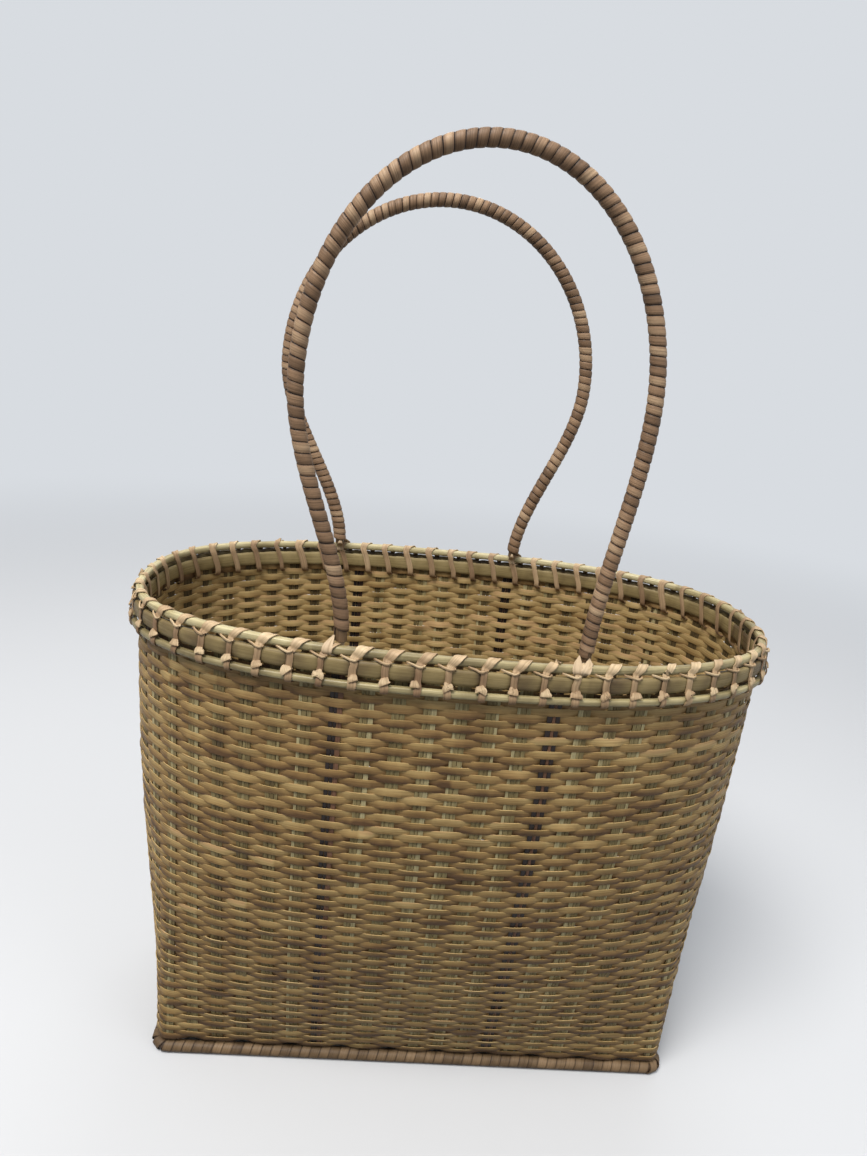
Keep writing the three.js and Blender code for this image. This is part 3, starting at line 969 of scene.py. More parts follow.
@dataclass(frozen=True)
class StakeSizes:
    """Sizes of the stakes, in metres: each is a few splints side by side.

    Attributes:
        top: Level of their upper ends.
        widths: Widths of a stake's splints.
        gap: Gap between two splints.
        thickness: Thickness of a splint.
        cross_level: Height of the runs from front to back under the base.
        long_level: Height of the runs from end to end.
        bend: Size of the bend between the wall and the run.
        bend_stops: Stops in the bend, as heights over the run and ways inwards, in shares of its size.
        bend_top: Height over the run at which the bend starts, in the same shares.
        wall_stops: Number of stops up the wall.
        run_stops: Number of stops under the base.
        sway: How far splints wander sideways.
        lift: How far they wander in and out.
        waves: Highest number of waves in which they wander.
    """

    top: float = 0.3050
    widths: tuple[float, ...] = (0.0017, 0.0023, 0.0028)
    gap: float = 0.00012
    thickness: float = 0.0006
    cross_level: float = 0.0083
    long_level: float = 0.0096
    bend: float = 0.004
    bend_stops: tuple[Span, ...] = ((1.5, 0.05), (0.8, 0.25), (0.3, 0.65), (0.06, 1.2))
    bend_top: float = 2.5
    wall_stops: int = 34
    run_stops: int = 12
    sway: float = 0.00008
    lift: float = 0.0001
    waves: int = 6


@dataclass(frozen=True)
class StakeTones:
    """Tones of the stakes, 0 to 1.

    Attributes:
        dark: Numbers of the dark stakes.
        dark_tone: Tone of these.
        plain: Tone of the others.
        paler: How much paler the palest is.
        palest: Number of the palest one, between two stakes.
        reach: Number of stakes to either side over which this fades.
        spread: Spread of the tone from splint to splint.
        bright: How much paler one splint of a stake may be.
        chance: How often a stake has such a splint. A dark one always has.
        waver: How much the tone wavers along a splint.
        inner: How much darker the inner faces are.
    """

    dark: tuple[int, ...] = (6, 13)
    dark_tone: float = 0.18
    plain: float = 0.34
    paler: float = 0.26
    palest: float = 10.5
    reach: float = 3.5
    spread: float = 0.3
    bright: float = 0.6
    chance: float = 0.5
    waver: float = 0.06
    # inner: How much darker the inner faces are painted: painted shade in the recessed windows seen from
    # inside.
    inner: float = 0.35


class Stakes(Assembly):
    """The upright stakes, each in splints that run down one wall, under the base and up the other."""

    sizes = StakeSizes()
    tones = StakeTones()

    def build(self) -> None:
        """Builds one piece for each stake."""
        wall, tones = self.wall, self.tones
        rng = np.random.default_rng(21)
        for count in range(wall.cross_stakes):
            ends = (count, wall.total // 2 + wall.cross_stakes - 1 - count)
            slot, pale = "dark_stake", tones.dark_tone
            if count not in tones.dark:
                away = (count - tones.palest) / tones.reach
                slot, pale = "pale_stake", tones.plain + tones.paler * math.exp(-(away**2))
            self._stake(rng, f"cross_stake_{count + 1:02d}", slot, ends, self.sizes.cross_level, pale)
        for count in range(wall.long_stakes):
            ends = (wall.cross_stakes + count, wall.total - 1 - count)
            name = f"long_stake_{count + 1:02d}"
            self._stake(rng, name, "pale_stake", ends, self.sizes.long_level, tones.plain)

    def _stake(
        self,
        rng: np.random.Generator,
        name: str,
        slot: str,
        ends: tuple[int, int],
        level: float,
        pale: float,
    ) -> None:
        """Builds one stake: its line down the wall, under the base and up again, and splints beside it.

        Args:
            rng: Random source.
            name: Name of the CAD node that it stands for.
            slot: The record's slot of its finish.
            ends: Places where it leaves the base on either side.
            level: Height of its run under the base.
            pale: How pale its splints are on the whole.
        """
        sizes, wall, tones = self.sizes, self.wall, self.tones
        up, inward = np.array(sizes.bend_stops).T * sizes.bend
        lowest = level + sizes.bend_top * sizes.bend
        heights = np.r_[np.linspace(sizes.top, lowest, sizes.wall_stops), level + up]
        inward = np.r_[np.zeros(sizes.wall_stops), inward]
        limbs = []
        for end in ends:
            out = unit(wall.point(end, MM, level) - wall.point(end, 0.0, level))
            limbs.append(wall.point(end, 0.0, heights) - inward[:, None] * out)
        first, second = limbs
        share = np.linspace(0, 1, sizes.run_stops + 2)[1:-1, None]
        run = first[-1] + (second[-1] - first[-1]) * share
        run[:, 2] = level
        line = np.concatenate([first, run, second[::-1]])
        ahead = ahead_of(line, False)
        side_down = wall.along(ends[0], heights, 0.3)
        side_up = -wall.along(ends[1], heights, 0.3)[::-1]
        blend = share * side_up[:1] + (1 - share) * side_down[-1:]
        side = square_to(np.concatenate([side_down, unit(blend), side_up]), ahead)
        face = np.cross(ahead, side)
        widths = rng.permutation(sizes.widths)
        splints = len(widths)
        ends_at = (widths + sizes.gap).cumsum()
        lanes = ends_at - (widths + sizes.gap) / 2 - ends_at[-1] / 2
        jitter = ripple(rng, np.linspace(0, 1, len(line)), sizes.waves, 2 * splints)
        lanes = lanes[:, None] + sizes.sway * jitter[:splints]
        depth = sizes.lift * jitter[splints:]
        middle = line + lanes[..., None] * side + depth[..., None] * face
        shades = pale + tones.spread * (rng.random((splints, 1)) - 0.5)
        palest = rng.integers(splints)
        if rng.random() < tones.chance or slot == "dark_stake":
            shades[palest] += tones.bright
        tone = shades + tones.waver * jitter[:splints]
        # The splints' inner faces are painted darker: painted shade in the windows seen from inside.
        inner = tones.inner * (Outline.SPLINT.points()[:, 1] < 0)
        wide = widths[:, None, None] / 2 * side
        thick = np.broadcast_to(sizes.thickness / 2 * face, middle.shape)
        strands = Strands.swept(middle, wide, thick, Outline.SPLINT, tone[..., None] - inner)
        self.piece(StrandMesh(seed=ends[0]).add(strands), f"{name}_splints", slot, name)


@dataclass(frozen=True)
class BaseSizes:
    """Sizes of the woven base inside the wall, in metres.

    Attributes:
        level: Height of its middle.
        reach_x: Half its length.
        reach_y: Half its depth.
        corner: Radius of its corners.
        rows: Number of rows from end to end.
        steps: Stops of a row from one stake to the next.
        strand: Width of a row.
        thickness: Thickness of a row.
        swing: How far a row goes up and down.
        lanes: Number of splints at each stake.
        splint: Width of a splint from front to back.
        gap: Gap between two splints.
        splint_thickness: Thickness of a splint.
        splint_stops: Number of stops of a splint.
        row_tones: Middle and spread of the rows' tones.
        row_strand: Mean length of one tone in a row, in stops.
        splint_tones: Lowest of the splints' tones, and their range.
    """

    level: float = 0.0114
    reach_x: float = 0.1660
    reach_y: float = 0.0590
    corner: float = 0.006
    rows: int = 29
    steps: int = 8
    strand: float = 0.0039
    thickness: float = 0.0007
    swing: float = 0.00055
    lanes: int = 3
    splint: float = 0.0024
    gap: float = 0.0003
    splint_thickness: float = 0.0006
    splint_stops: int = 9
    row_tones: Span = (0.45, 0.5)
    row_strand: int = 70
    splint_tones: Span = (0.3, 0.3)


class WovenBase(Assembly):
    """The mat inside the base: rows from end to end through short splints from front to back."""

    sizes = BaseSizes()

    def build(self) -> None:
        """Builds the mat as one piece."""
        mesh = StrandMesh(seed=5).add(self._rows()).add(self._splints())
        self.piece(mesh, "base_weave", "tan_weave", "base_mat")

    def _reach(self, across: Array) -> Array:
        """Half-length of a row at a distance from the middle, shorter beside the rounded corners."""
        into = np.clip(np.abs(across) - (self.sizes.reach_y - self.sizes.corner), 0, self.sizes.corner)
        return self.sizes.reach_x - self.sizes.corner + np.sqrt(self.sizes.corner**2 - into**2)

    def _rows(self) -> Strands:
        """Makes rows along the base that go over one group of splints and under the next on a sine.

        Returns:
            The rows.
        """
        sizes, wall = self.sizes, self.wall
        rng = np.random.default_rng(8)
        y = np.linspace(-1, 1, sizes.rows) * (sizes.reach_y - sizes.strand / 2)
        x = np.linspace(-1, 1, sizes.steps * wall.cross_stakes)[None] * self._reach(y)[:, None]
        spacing = (wall.base_width - 2 * wall.corner_radius) / (wall.cross_stakes - 1)
        parity = np.where(np.arange(sizes.rows) % 2 == 0, 1.0, -1.0)[:, None]
        z = sizes.level + sizes.swing * parity * np.cos(math.pi * x / spacing)
        middle = np.stack([x, np.broadcast_to(y[:, None], x.shape), z], axis=-1)
        wide = np.broadcast_to([0.0, sizes.strand / 2, 0.0], middle.shape)
        thick = unit(np.cross(ahead_of(middle, False), wide)) * sizes.thickness / 2
        mid, spread = sizes.row_tones
        tone = mid + spread * (runs(rng, x.shape, sizes.row_strand) - 0.5)
        return Strands.swept(middle, wide, thick, Outline.SPLINT, tone)

    def _splints(self) -> Strands:
        """Makes the splints from front to back, side by side at each stake.

        Returns:
            The splints.
        """
        sizes, wall = self.sizes, self.wall
        rng = np.random.default_rng(9)
        straight = wall.base_width / 2 - wall.corner_radius
        stakes = np.linspace(-straight, straight, wall.cross_stakes)
        lanes = (np.arange(sizes.lanes) - (sizes.lanes - 1) / 2) * (sizes.splint + sizes.gap)
        x = (stakes[:, None] + lanes).ravel()
        y = np.linspace(-1, 1, sizes.splint_stops) * (sizes.reach_y - sizes.corner / 2)
        middle = np.stack(np.broadcast_arrays(x[:, None], y[None], sizes.level), axis=-1)
        wide = np.broadcast_to([sizes.splint / 2, 0.0, 0.0], middle.shape)
        thick = np.broadcast_to([0.0, 0.0, sizes.splint_thickness / 2], middle.shape)
        lowest, spread = sizes.splint_tones
        tone = np.repeat(lowest + spread * rng.random((len(x), 1)), sizes.splint_stops, axis=1)
        return Strands.swept(middle, wide, thick, Outline.SPLINT, tone)


@dataclass(frozen=True)
class RimMember:
    """One ring of the rim, with its sizes in metres.

    Attributes:
        node: The CAD node that it stands for.
        slot: The record's slot of its finish.
        offset: Offset of its middle from the wall's, positive outwards.
        level: Height of its middle.
        height: Height of its section.
        thickness: Thickness of its section.
        drawn: How much thinner it is where the lashing holds it, and how much darker it is painted there:
            painted shade beside the lashing.
        tone: How pale it is elsewhere.
    """

    node: str
    slot: str
    offset: float
    level: float
    height: float
    thickness: float
    drawn: float
    tone: float


@dataclass(frozen=True)
class RimSizes:
    """What the members of the rim share.

    Attributes:
        steps: Stops from one stake to the next.
        lash_place: Where the lashing crosses, as a share of the way from one stake to the next.
        lash_reach: How far to either side of it a member is drawn in, as the same share.
        waves: Highest number of waves round the rim in which a member wanders.
        wander: How far it goes up and down in them, in metres.
        uneven: How much its thickness follows them, as a share.
        strand: Mean length of one tone, in stops.
        shades: Spread of these tones.
        streaks: How much the tone follows the waves.
        flat: Share of the drawing in that its height follows.
    """

    steps: int = 12
    lash_place: float = 0.46
    lash_reach: float = 0.12
    waves: int = 40
    wander: float = 0.00012
    uneven: float = 0.02
    strand: int = 90
    shades: float = 0.4
    streaks: float = 0.15
    flat: float = 0.5


class Rim(Assembly):
    """The rim: a cane on top, a hoop outside and one inside, and a cane below the outer one."""

    sizes = RimSizes()
    members = (
        RimMember("top_cane", "green_cane", 0.0, 0.3106, 0.0046, 0.0046, 0.02, 0.6),
        RimMember("outer_hoop", "olive_hoop", 0.0025, 0.3028, 0.0088, 0.0034, 0.4, 0.5),
        RimMember("inner_hoop", "olive_hoop", -0.0020, 0.30065, 0.0094, 0.0023, 0.1, 0.5),
        RimMember("lower_cane", "green_cane", 0.0037, 0.2940, 0.0038, 0.0038, 0.05, 0.4),
    )

    def build(self) -> None:
        """Builds the members, each drawn in by a bell curve round the places of the lashing."""
        sizes, wall = self.sizes, self.wall
        rng = np.random.default_rng(3)
        places = np.arange(wall.total * sizes.steps) / sizes.steps
        from_lash = (places - sizes.lash_place + 0.5) % 1 - 0.5
        held = np.exp(-((from_lash / sizes.lash_reach) ** 2))
        wander = ripple(rng, places / wall.total, sizes.waves, 6)
        for row, member in enumerate(self.members):
            shape = 1 - member.drawn * held + sizes.uneven * wander[row]
            shades = sizes.shades * (runs(rng, (1, len(places)), sizes.strand) - 0.5)
            # Members are painted darker where the lashing holds them: painted shade beside the lashing.
            tone = member.tone + shades + sizes.streaks * wander[row][None] - member.drawn * held
            ring = wall.ring(
                places,
                member.offset,
                member.level + sizes.wander * wander[row],
                member.height / 2 * (1 - sizes.flat * (1 - shape)),
                member.thickness / 2 * shape,
                outline=Outline.CANE,
                tone=tone,
            )
            self.piece(StrandMesh(seed=row).add(ring), f"{member.node}_split", member.slot, member.node)


# Turns of the lashing, by stop: share of the stake spacing, then offset, height and half width in
# millimetres, then tone
LASH_LOOP = (
    (0.93, -2.8, 310.6, 2.0, 0.55),
    (0.88, -1.6, 312.9, 2.2, 0.7),
    (0.79, 0.2, 313.3, 2.4, 0.8),
    (0.68, 2.0, 312.7, 2.4, 0.85),
    (0.59, 2.7, 310.9, 2.2, 0.8),
    (0.51, 2.7, 309.1, 1.9, 0.7),
    (0.475, 3.6, 307.6, 1.7, 0.6),
    (0.465, 4.2, 305.4, 1.65, 0.5),
    (0.46, 4.35, 302.6, 1.65, 0.45),
    (0.46, 4.45, 299.6, 1.7, 0.45),
    (0.464, 5.0, 297.4, 1.8, 0.4),
    (0.468, 6.05, 295.0, 1.9, 0.5),
    (0.468, 5.8, 292.6, 1.8, 0.4),
    (0.47, 4.4, 291.3, 1.7, 0.3),
    (0.50, 2.0, 290.9, 1.6, 0.3),
    (0.56, -1.6, 290.9, 1.7, 0.3),
    (0.63, -3.5, 293.0, 1.7, 0.45),
    (0.67, -3.75, 297.0, 1.8, 0.55),
    (0.80, -3.75, 304.3, 1.8, 0.6),
    (0.88, -3.6, 308.0, 1.9, 0.55),
)
LASH_KNOT = (
    (0.460, 4.8, 300.2, 1.7, 0.6),
    (0.463, 5.2, 299.6, 2.1, 0.75),
    (0.470, 5.7, 298.7, 2.6, 0.85),
    (0.478, 6.1, 297.8, 3.1, 0.85),
    (0.484, 6.2, 297.2, 3.0, 0.7),
)
LASH_LINK = (
    (0.06, 2.0, 308.9, 0.4, 0.5),
    (0.16, 2.9, 308.6, 0.55, 0.8),
    (0.28, 3.7, 308.1, 0.6, 0.85),
    (0.40, 4.4, 307.7, 0.6, 0.9),
    (0.50, 4.8, 307.6, 0.6, 0.9),
    (0.58, 4.5, 307.9, 0.55, 0.8),
    (0.62, 3.7, 308.4, 0.5, 0.6),
)


class Lashing(Assembly):
    """The lashing of the rim: a strip round all its members between every two stakes.

    Attributes:
        steps: Samples from one stop of a turn to the next.
        sway: How far a turn, and a stop of it, stray along the rim, in shares of the stake spacing.
        uneven: How much the widths of turns differ, as a share.
        shades: Spread of the tone from turn to turn.
        steep: Share of its run along the rim over which a strip's width stands upright instead.
    """

    steps = 3
    sway = (0.03, 0.012)
    uneven = 0.1
    shades = 0.35
    steep = 0.75

    def build(self) -> None:
        """Builds the loops, the flared knots on the lower cane and the thin links as one piece."""
        mesh = StrandMesh(seed=11)
        mesh.add(self._turns(LASH_LOOP, True, 0.35, 31))
        mesh.add(self._turns(LASH_KNOT, False, 0.5, 32))
        mesh.add(self._turns(LASH_LINK, False, 0.45, 33))
        self.piece(mesh, "rim_lashing_strip", "peach_lashing", "rim_lashing")

    def _turns(self, stops: tuple, ring: bool, half_thickness: float, seed: int) -> Strands:
        """Repeats a row of stops in every gap between stakes.

        The strip's width lies along the rim, square to the way it runs, and its face is square to both.

        Args:
            stops: Share of the spacing, offset, height, half width and tone at each stop.
            ring: Whether the strip closes on itself.
            half_thickness: Half its thickness in millimetres.
            seed: Seed of its small irregularities.

        Returns:
            The strips.
        """
        wall = self.wall
        rng = np.random.default_rng(seed)
        share, offset, height, half, tone = np.array(stops).T
        gaps = np.arange(wall.total)[:, None]
        whole, single = self.sway
        sway = whole * rng.normal(size=(wall.total, 1)) + single * rng.normal(size=(wall.total, len(stops)))
        place = gaps + share + sway
        centre = wall.point(place, offset * MM, height * MM)
        half = half * (1 + self.uneven * rng.normal(size=(wall.total, 1))) * MM
        tone = tone + self.shades * (rng.random((wall.total, 1)) - 0.5)
        values = spline(np.concatenate([centre, half[..., None], tone[..., None]], axis=-1), self.steps, ring)
        middle, half, tone = values[..., :3], values[..., 3:4], values[..., 4]
        rim = wall.along(gaps + 0.5, wall.rim_height, 0.4)
        ahead = ahead_of(middle, ring)
        flat = abs((ahead * rim).sum(axis=-1, keepdims=True))
        up = np.broadcast_to([0.0, 0.0, 1.0], middle.shape)
        wide = square_to(np.where(flat > self.steep, up, rim), ahead)
        thick = np.cross(wide, ahead) * half_thickness * MM
        return Strands.swept(middle, wide * half, thick, Outline.STRIP, tone, ring=ring)


@dataclass(frozen=True)
class RailSizes:
    """Sizes of the foot rail, in metres.

    Attributes:
        diameter: Diameter over the winding.
        core: Diameter of the cane inside.
        core_steps: Stops of the cane from one stake to the next.
        pitch: Pitch of the winding.
        cover: Share of the pitch that the strip covers.
        strip: Half the strip's thickness.
        bed: Depth of the strip's middle under the winding's outside.
        steps: Stops to a turn.
    """

    diameter: float = 0.0075
    core: float = 0.0058
    core_steps: int = 16
    pitch: float = 0.0064
    cover: float = 0.95
    strip: float = 0.00033
    bed: float = 0.00035
    steps: int = 14


@dataclass(frozen=True)
class RailTones:
    """Tones of the foot rail, 0 to 1.

    Attributes:
        core: Tone of the cane between the turns.
        strip: Tone of the strip.
        shades: Its spread from turn to turn.
        edge: Share of the strip's tone at its edges, painted shade in the crease between turns.
        edge_from: Share of the half width at which an edge starts.
    """

    core: float = 0.15
    strip: float = 0.6
    shades: float = 0.4
    edge: float = 0.3
    edge_from: float = 0.9


class FootRail(Assembly):
    """The rail that the tote stands on: a ring of cane with a strip wound round it."""

    sizes = RailSizes()
    tones = RailTones()

    def build(self) -> None:
        """Builds the ring and its winding as one piece."""
        sizes, wall = self.sizes, self.wall
        places = np.arange(wall.total * sizes.core_steps) / sizes.core_steps
        tone = np.full((1, len(places)), self.tones.core)
        half = sizes.core / 2
        core = wall.ring(places, 0.0, sizes.diameter / 2, half, half, outline=Outline.ROUND, tone=tone)
        mesh = StrandMesh(seed=12).add(core).add(self._winding(places))
        self.piece(mesh, "foot_rail_wound", "rail_cane", "foot_rail")

    def _winding(self, places: Array) -> Strands:
        """Makes the strip, whose middle goes round the rail's own middle once to a pitch.

        Args:
            places: Places that sample the rail's middle.

        Returns:
            The strip, as a ring.
        """
        sizes, wall, tones = self.sizes, self.wall, self.tones
        rng = np.random.default_rng(13)
        line = wall.point(places, 0.0, sizes.diameter / 2)
        closed = np.concatenate([line, line[:1]])
        length = lengths(closed)
        turns = round(length[-1] / sizes.pitch)
        count = turns * sizes.steps
        distance = (np.arange(count) + 0.5) / count * length[-1]
        spot = between(distance, length, closed)
        out = outward(np.roll(spot, -2, axis=0) - np.roll(spot, 2, axis=0))
        angle = np.arange(count)[:, None] / sizes.steps * TAU
        radial = np.cos(angle) * out + np.sin(angle) * np.array([0.0, 0.0, 1.0])
        middle = spot + (sizes.diameter / 2 - sizes.bed) * radial
        wide = unit(np.cross(radial, ahead_of(middle, True))) * sizes.pitch / 2 * sizes.cover
        tone = np.repeat(tones.strip + tones.shades * (rng.random(turns) - 0.5), sizes.steps)
        # The strip's edges are painted darker: painted shade in the crease between turns.
        inside = np.abs(Outline.STRIP.points()[:, 0]) < tones.edge_from
        shades = tone[:, None] * np.where(inside, 1.0, tones.edge)
        thick = radial * sizes.strip
        return Strands.swept(middle[None], wide[None], thick[None], Outline.STRIP, shades[None], ring=True)


# Handles


@dataclass(frozen=True)
class HandleSizes:
    """Sizes of one handle, in metres, with heights above the top cane's middle.

    Attributes:
        word: First word of its nodes' names and of its body's.
        stakes: Places of its left and right feet, seen from outside.
        half_width: Half its greatest width.
        lean: How far the arch stands to the left of the middle between the feet.
        rise: Height of its top.
        first_pitch: Pitch of its wrap at the left foot.
        last_pitch: Pitch of its wrap at the right foot.
        wrap: Diameter over the wrap.
        waist: Height at which the legs end and the arch starts.
        lift: Height of the legs' ends.
        inset: How far inward its plane stands.
        core: Diameter of the cane inside.
        bare: Length of bare cane at each end.
        waver: How far its turns wander along it.
    """

    word: str
    stakes: Span
    half_width: float
    lean: float
    rise: float
    first_pitch: float
    last_pitch: float
    wrap: float
    waist: float = 0.130
    lift: float = 0.0039
    inset: float = 0.0046
    core: float = 0.0060
    bare: float = 0.0022
    waver: float = 0.0001


class HandleLine:
    """Middle line of a handle by distance from its left foot.

    Each leg goes from the foot to the arch's end as three times the square less twice the cube
    of its share of the climb. The arch above is half an ellipse, whose middle stands to the left.

    Attributes:
        leg_stops: Number of stops of a leg.
        arch_stops: Number of stops of the arch.
    """

    leg_stops = 300
    arch_stops = 900

    def __init__(self, sizes: HandleSizes, wall: WallShape) -> None:
        """Samples the line and keeps its length.

        Args:
            sizes: Sizes of the handle.
            wall: Shape of the wall, whose top cane carries the feet.
        """
        left, right = wall.point(np.array(sizes.stakes, float), 0.0, wall.rim_height)
        self.right = unit(right - left)
        self.inward = np.cross([0.0, 0.0, 1.0], self.right)
        foot = float(np.linalg.norm(right - left)) / 2
        climb = np.linspace(0, 1, self.leg_stops)
        spread = climb**2 * (3 - 2 * climb)
        left_x = -foot - (sizes.half_width + sizes.lean - foot) * spread
        right_x = foot + (sizes.half_width - sizes.lean - foot) * spread
        leg_z = sizes.lift + (sizes.waist - sizes.lift) * climb
        angle = np.linspace(0, math.pi, self.arch_stops)[1:-1]
        x = np.r_[left_x, -sizes.lean - sizes.half_width * np.cos(angle), right_x[::-1]]
        z = np.r_[leg_z, sizes.waist + (sizes.rise - sizes.waist) * np.sin(angle), leg_z[::-1]]
        origin = (left + right) / 2 + sizes.inset * self.inward
        self.points = origin + x[:, None] * self.right + z[:, None] * np.array([0.0, 0.0, 1.0])
        self.places = lengths(self.points)
        self.length = float(self.places[-1])

    def at(self, distance: Array) -> Array:
        """Points at distances from the left foot, as (..., 3)."""
        return between(distance, self.places, self.points)

    def frame(self, distance: Array) -> tuple[Array, Array, Array]:
        """Finds points of the line and directions there.

        Args:
            distance: Distances from the left foot.

        Returns:
            The points, the directions ahead and those away from the arch's middle, as (..., 3).
        """
        ahead = unit(self.at(distance + MM) - self.at(distance - MM))
        return self.at(distance), ahead, np.cross(ahead, self.inward)


# Strips of the ties at the left and right foot, by stop: shift to the right, offset outward, height
# and half width, all in millimetres
TIE_STRIPS = (
    (
        (
            (-3.9, -2.6, 317.2, 0.3), (-4.6, -1.0, 315.6, 1.2), (-5.4, 1.2, 314.0, 2.1),
            (-6.0, 3.0, 312.0, 2.7), (-6.0, 3.5, 310.1, 2.6), (-5.4, 2.3, 308.2, 2.0),
            (-4.4, 0.5, 307.4, 1.9), (-2.8, -2.0, 307.2, 1.8), (-1.2, -4.0, 308.2, 1.7),
            (-0.4, -4.3, 311.0, 1.6), (-0.1, -6.0, 313.2, 1.5), (0.0, -8.4, 314.6, 1.3),
            (0.0, -8.2, 316.8, 0.5),
        ),
    ),
    (
        (
            (-3.6, -2.6, 317.0, 0.3), (-4.2, -1.0, 315.4, 1.3), (-5.0, 1.2, 313.9, 2.2),
            (-5.6, 3.0, 311.9, 2.7), (-5.4, 3.5, 310.1, 2.5), (-4.6, 2.3, 308.2, 2.0),
            (-3.4, 0.5, 307.4, 1.9), (-2.2, -2.0, 307.2, 1.8), (-1.0, -4.0, 308.2, 1.7),
            (-0.4, -4.3, 311.0, 1.6), (-0.1, -6.0, 313.2, 1.5), (0.0, -8.4, 314.6, 1.3),
            (0.0, -8.2, 316.8, 0.5),
        ),
        (
            (1.6, -2.4, 316.0, 0.3), (1.4, -0.8, 314.7, 1.3), (0.6, 1.4, 313.6, 2.0),
            (-0.6, 3.1, 311.7, 2.5), (-1.8, 3.6, 310.0, 2.4), (-2.2, 2.3, 308.2, 1.8),
            (-1.8, 0.5, 307.4, 1.8), (-0.8, -2.0, 307.2, 1.7), (0.4, -4.0, 308.4, 1.6),
            (0.8, -4.3, 311.0, 1.5), (1.0, -6.0, 313.3, 1.4), (1.0, -8.5, 314.8, 1.2),
            (0.9, -8.3, 316.8, 0.5),
        ),
    ),
)


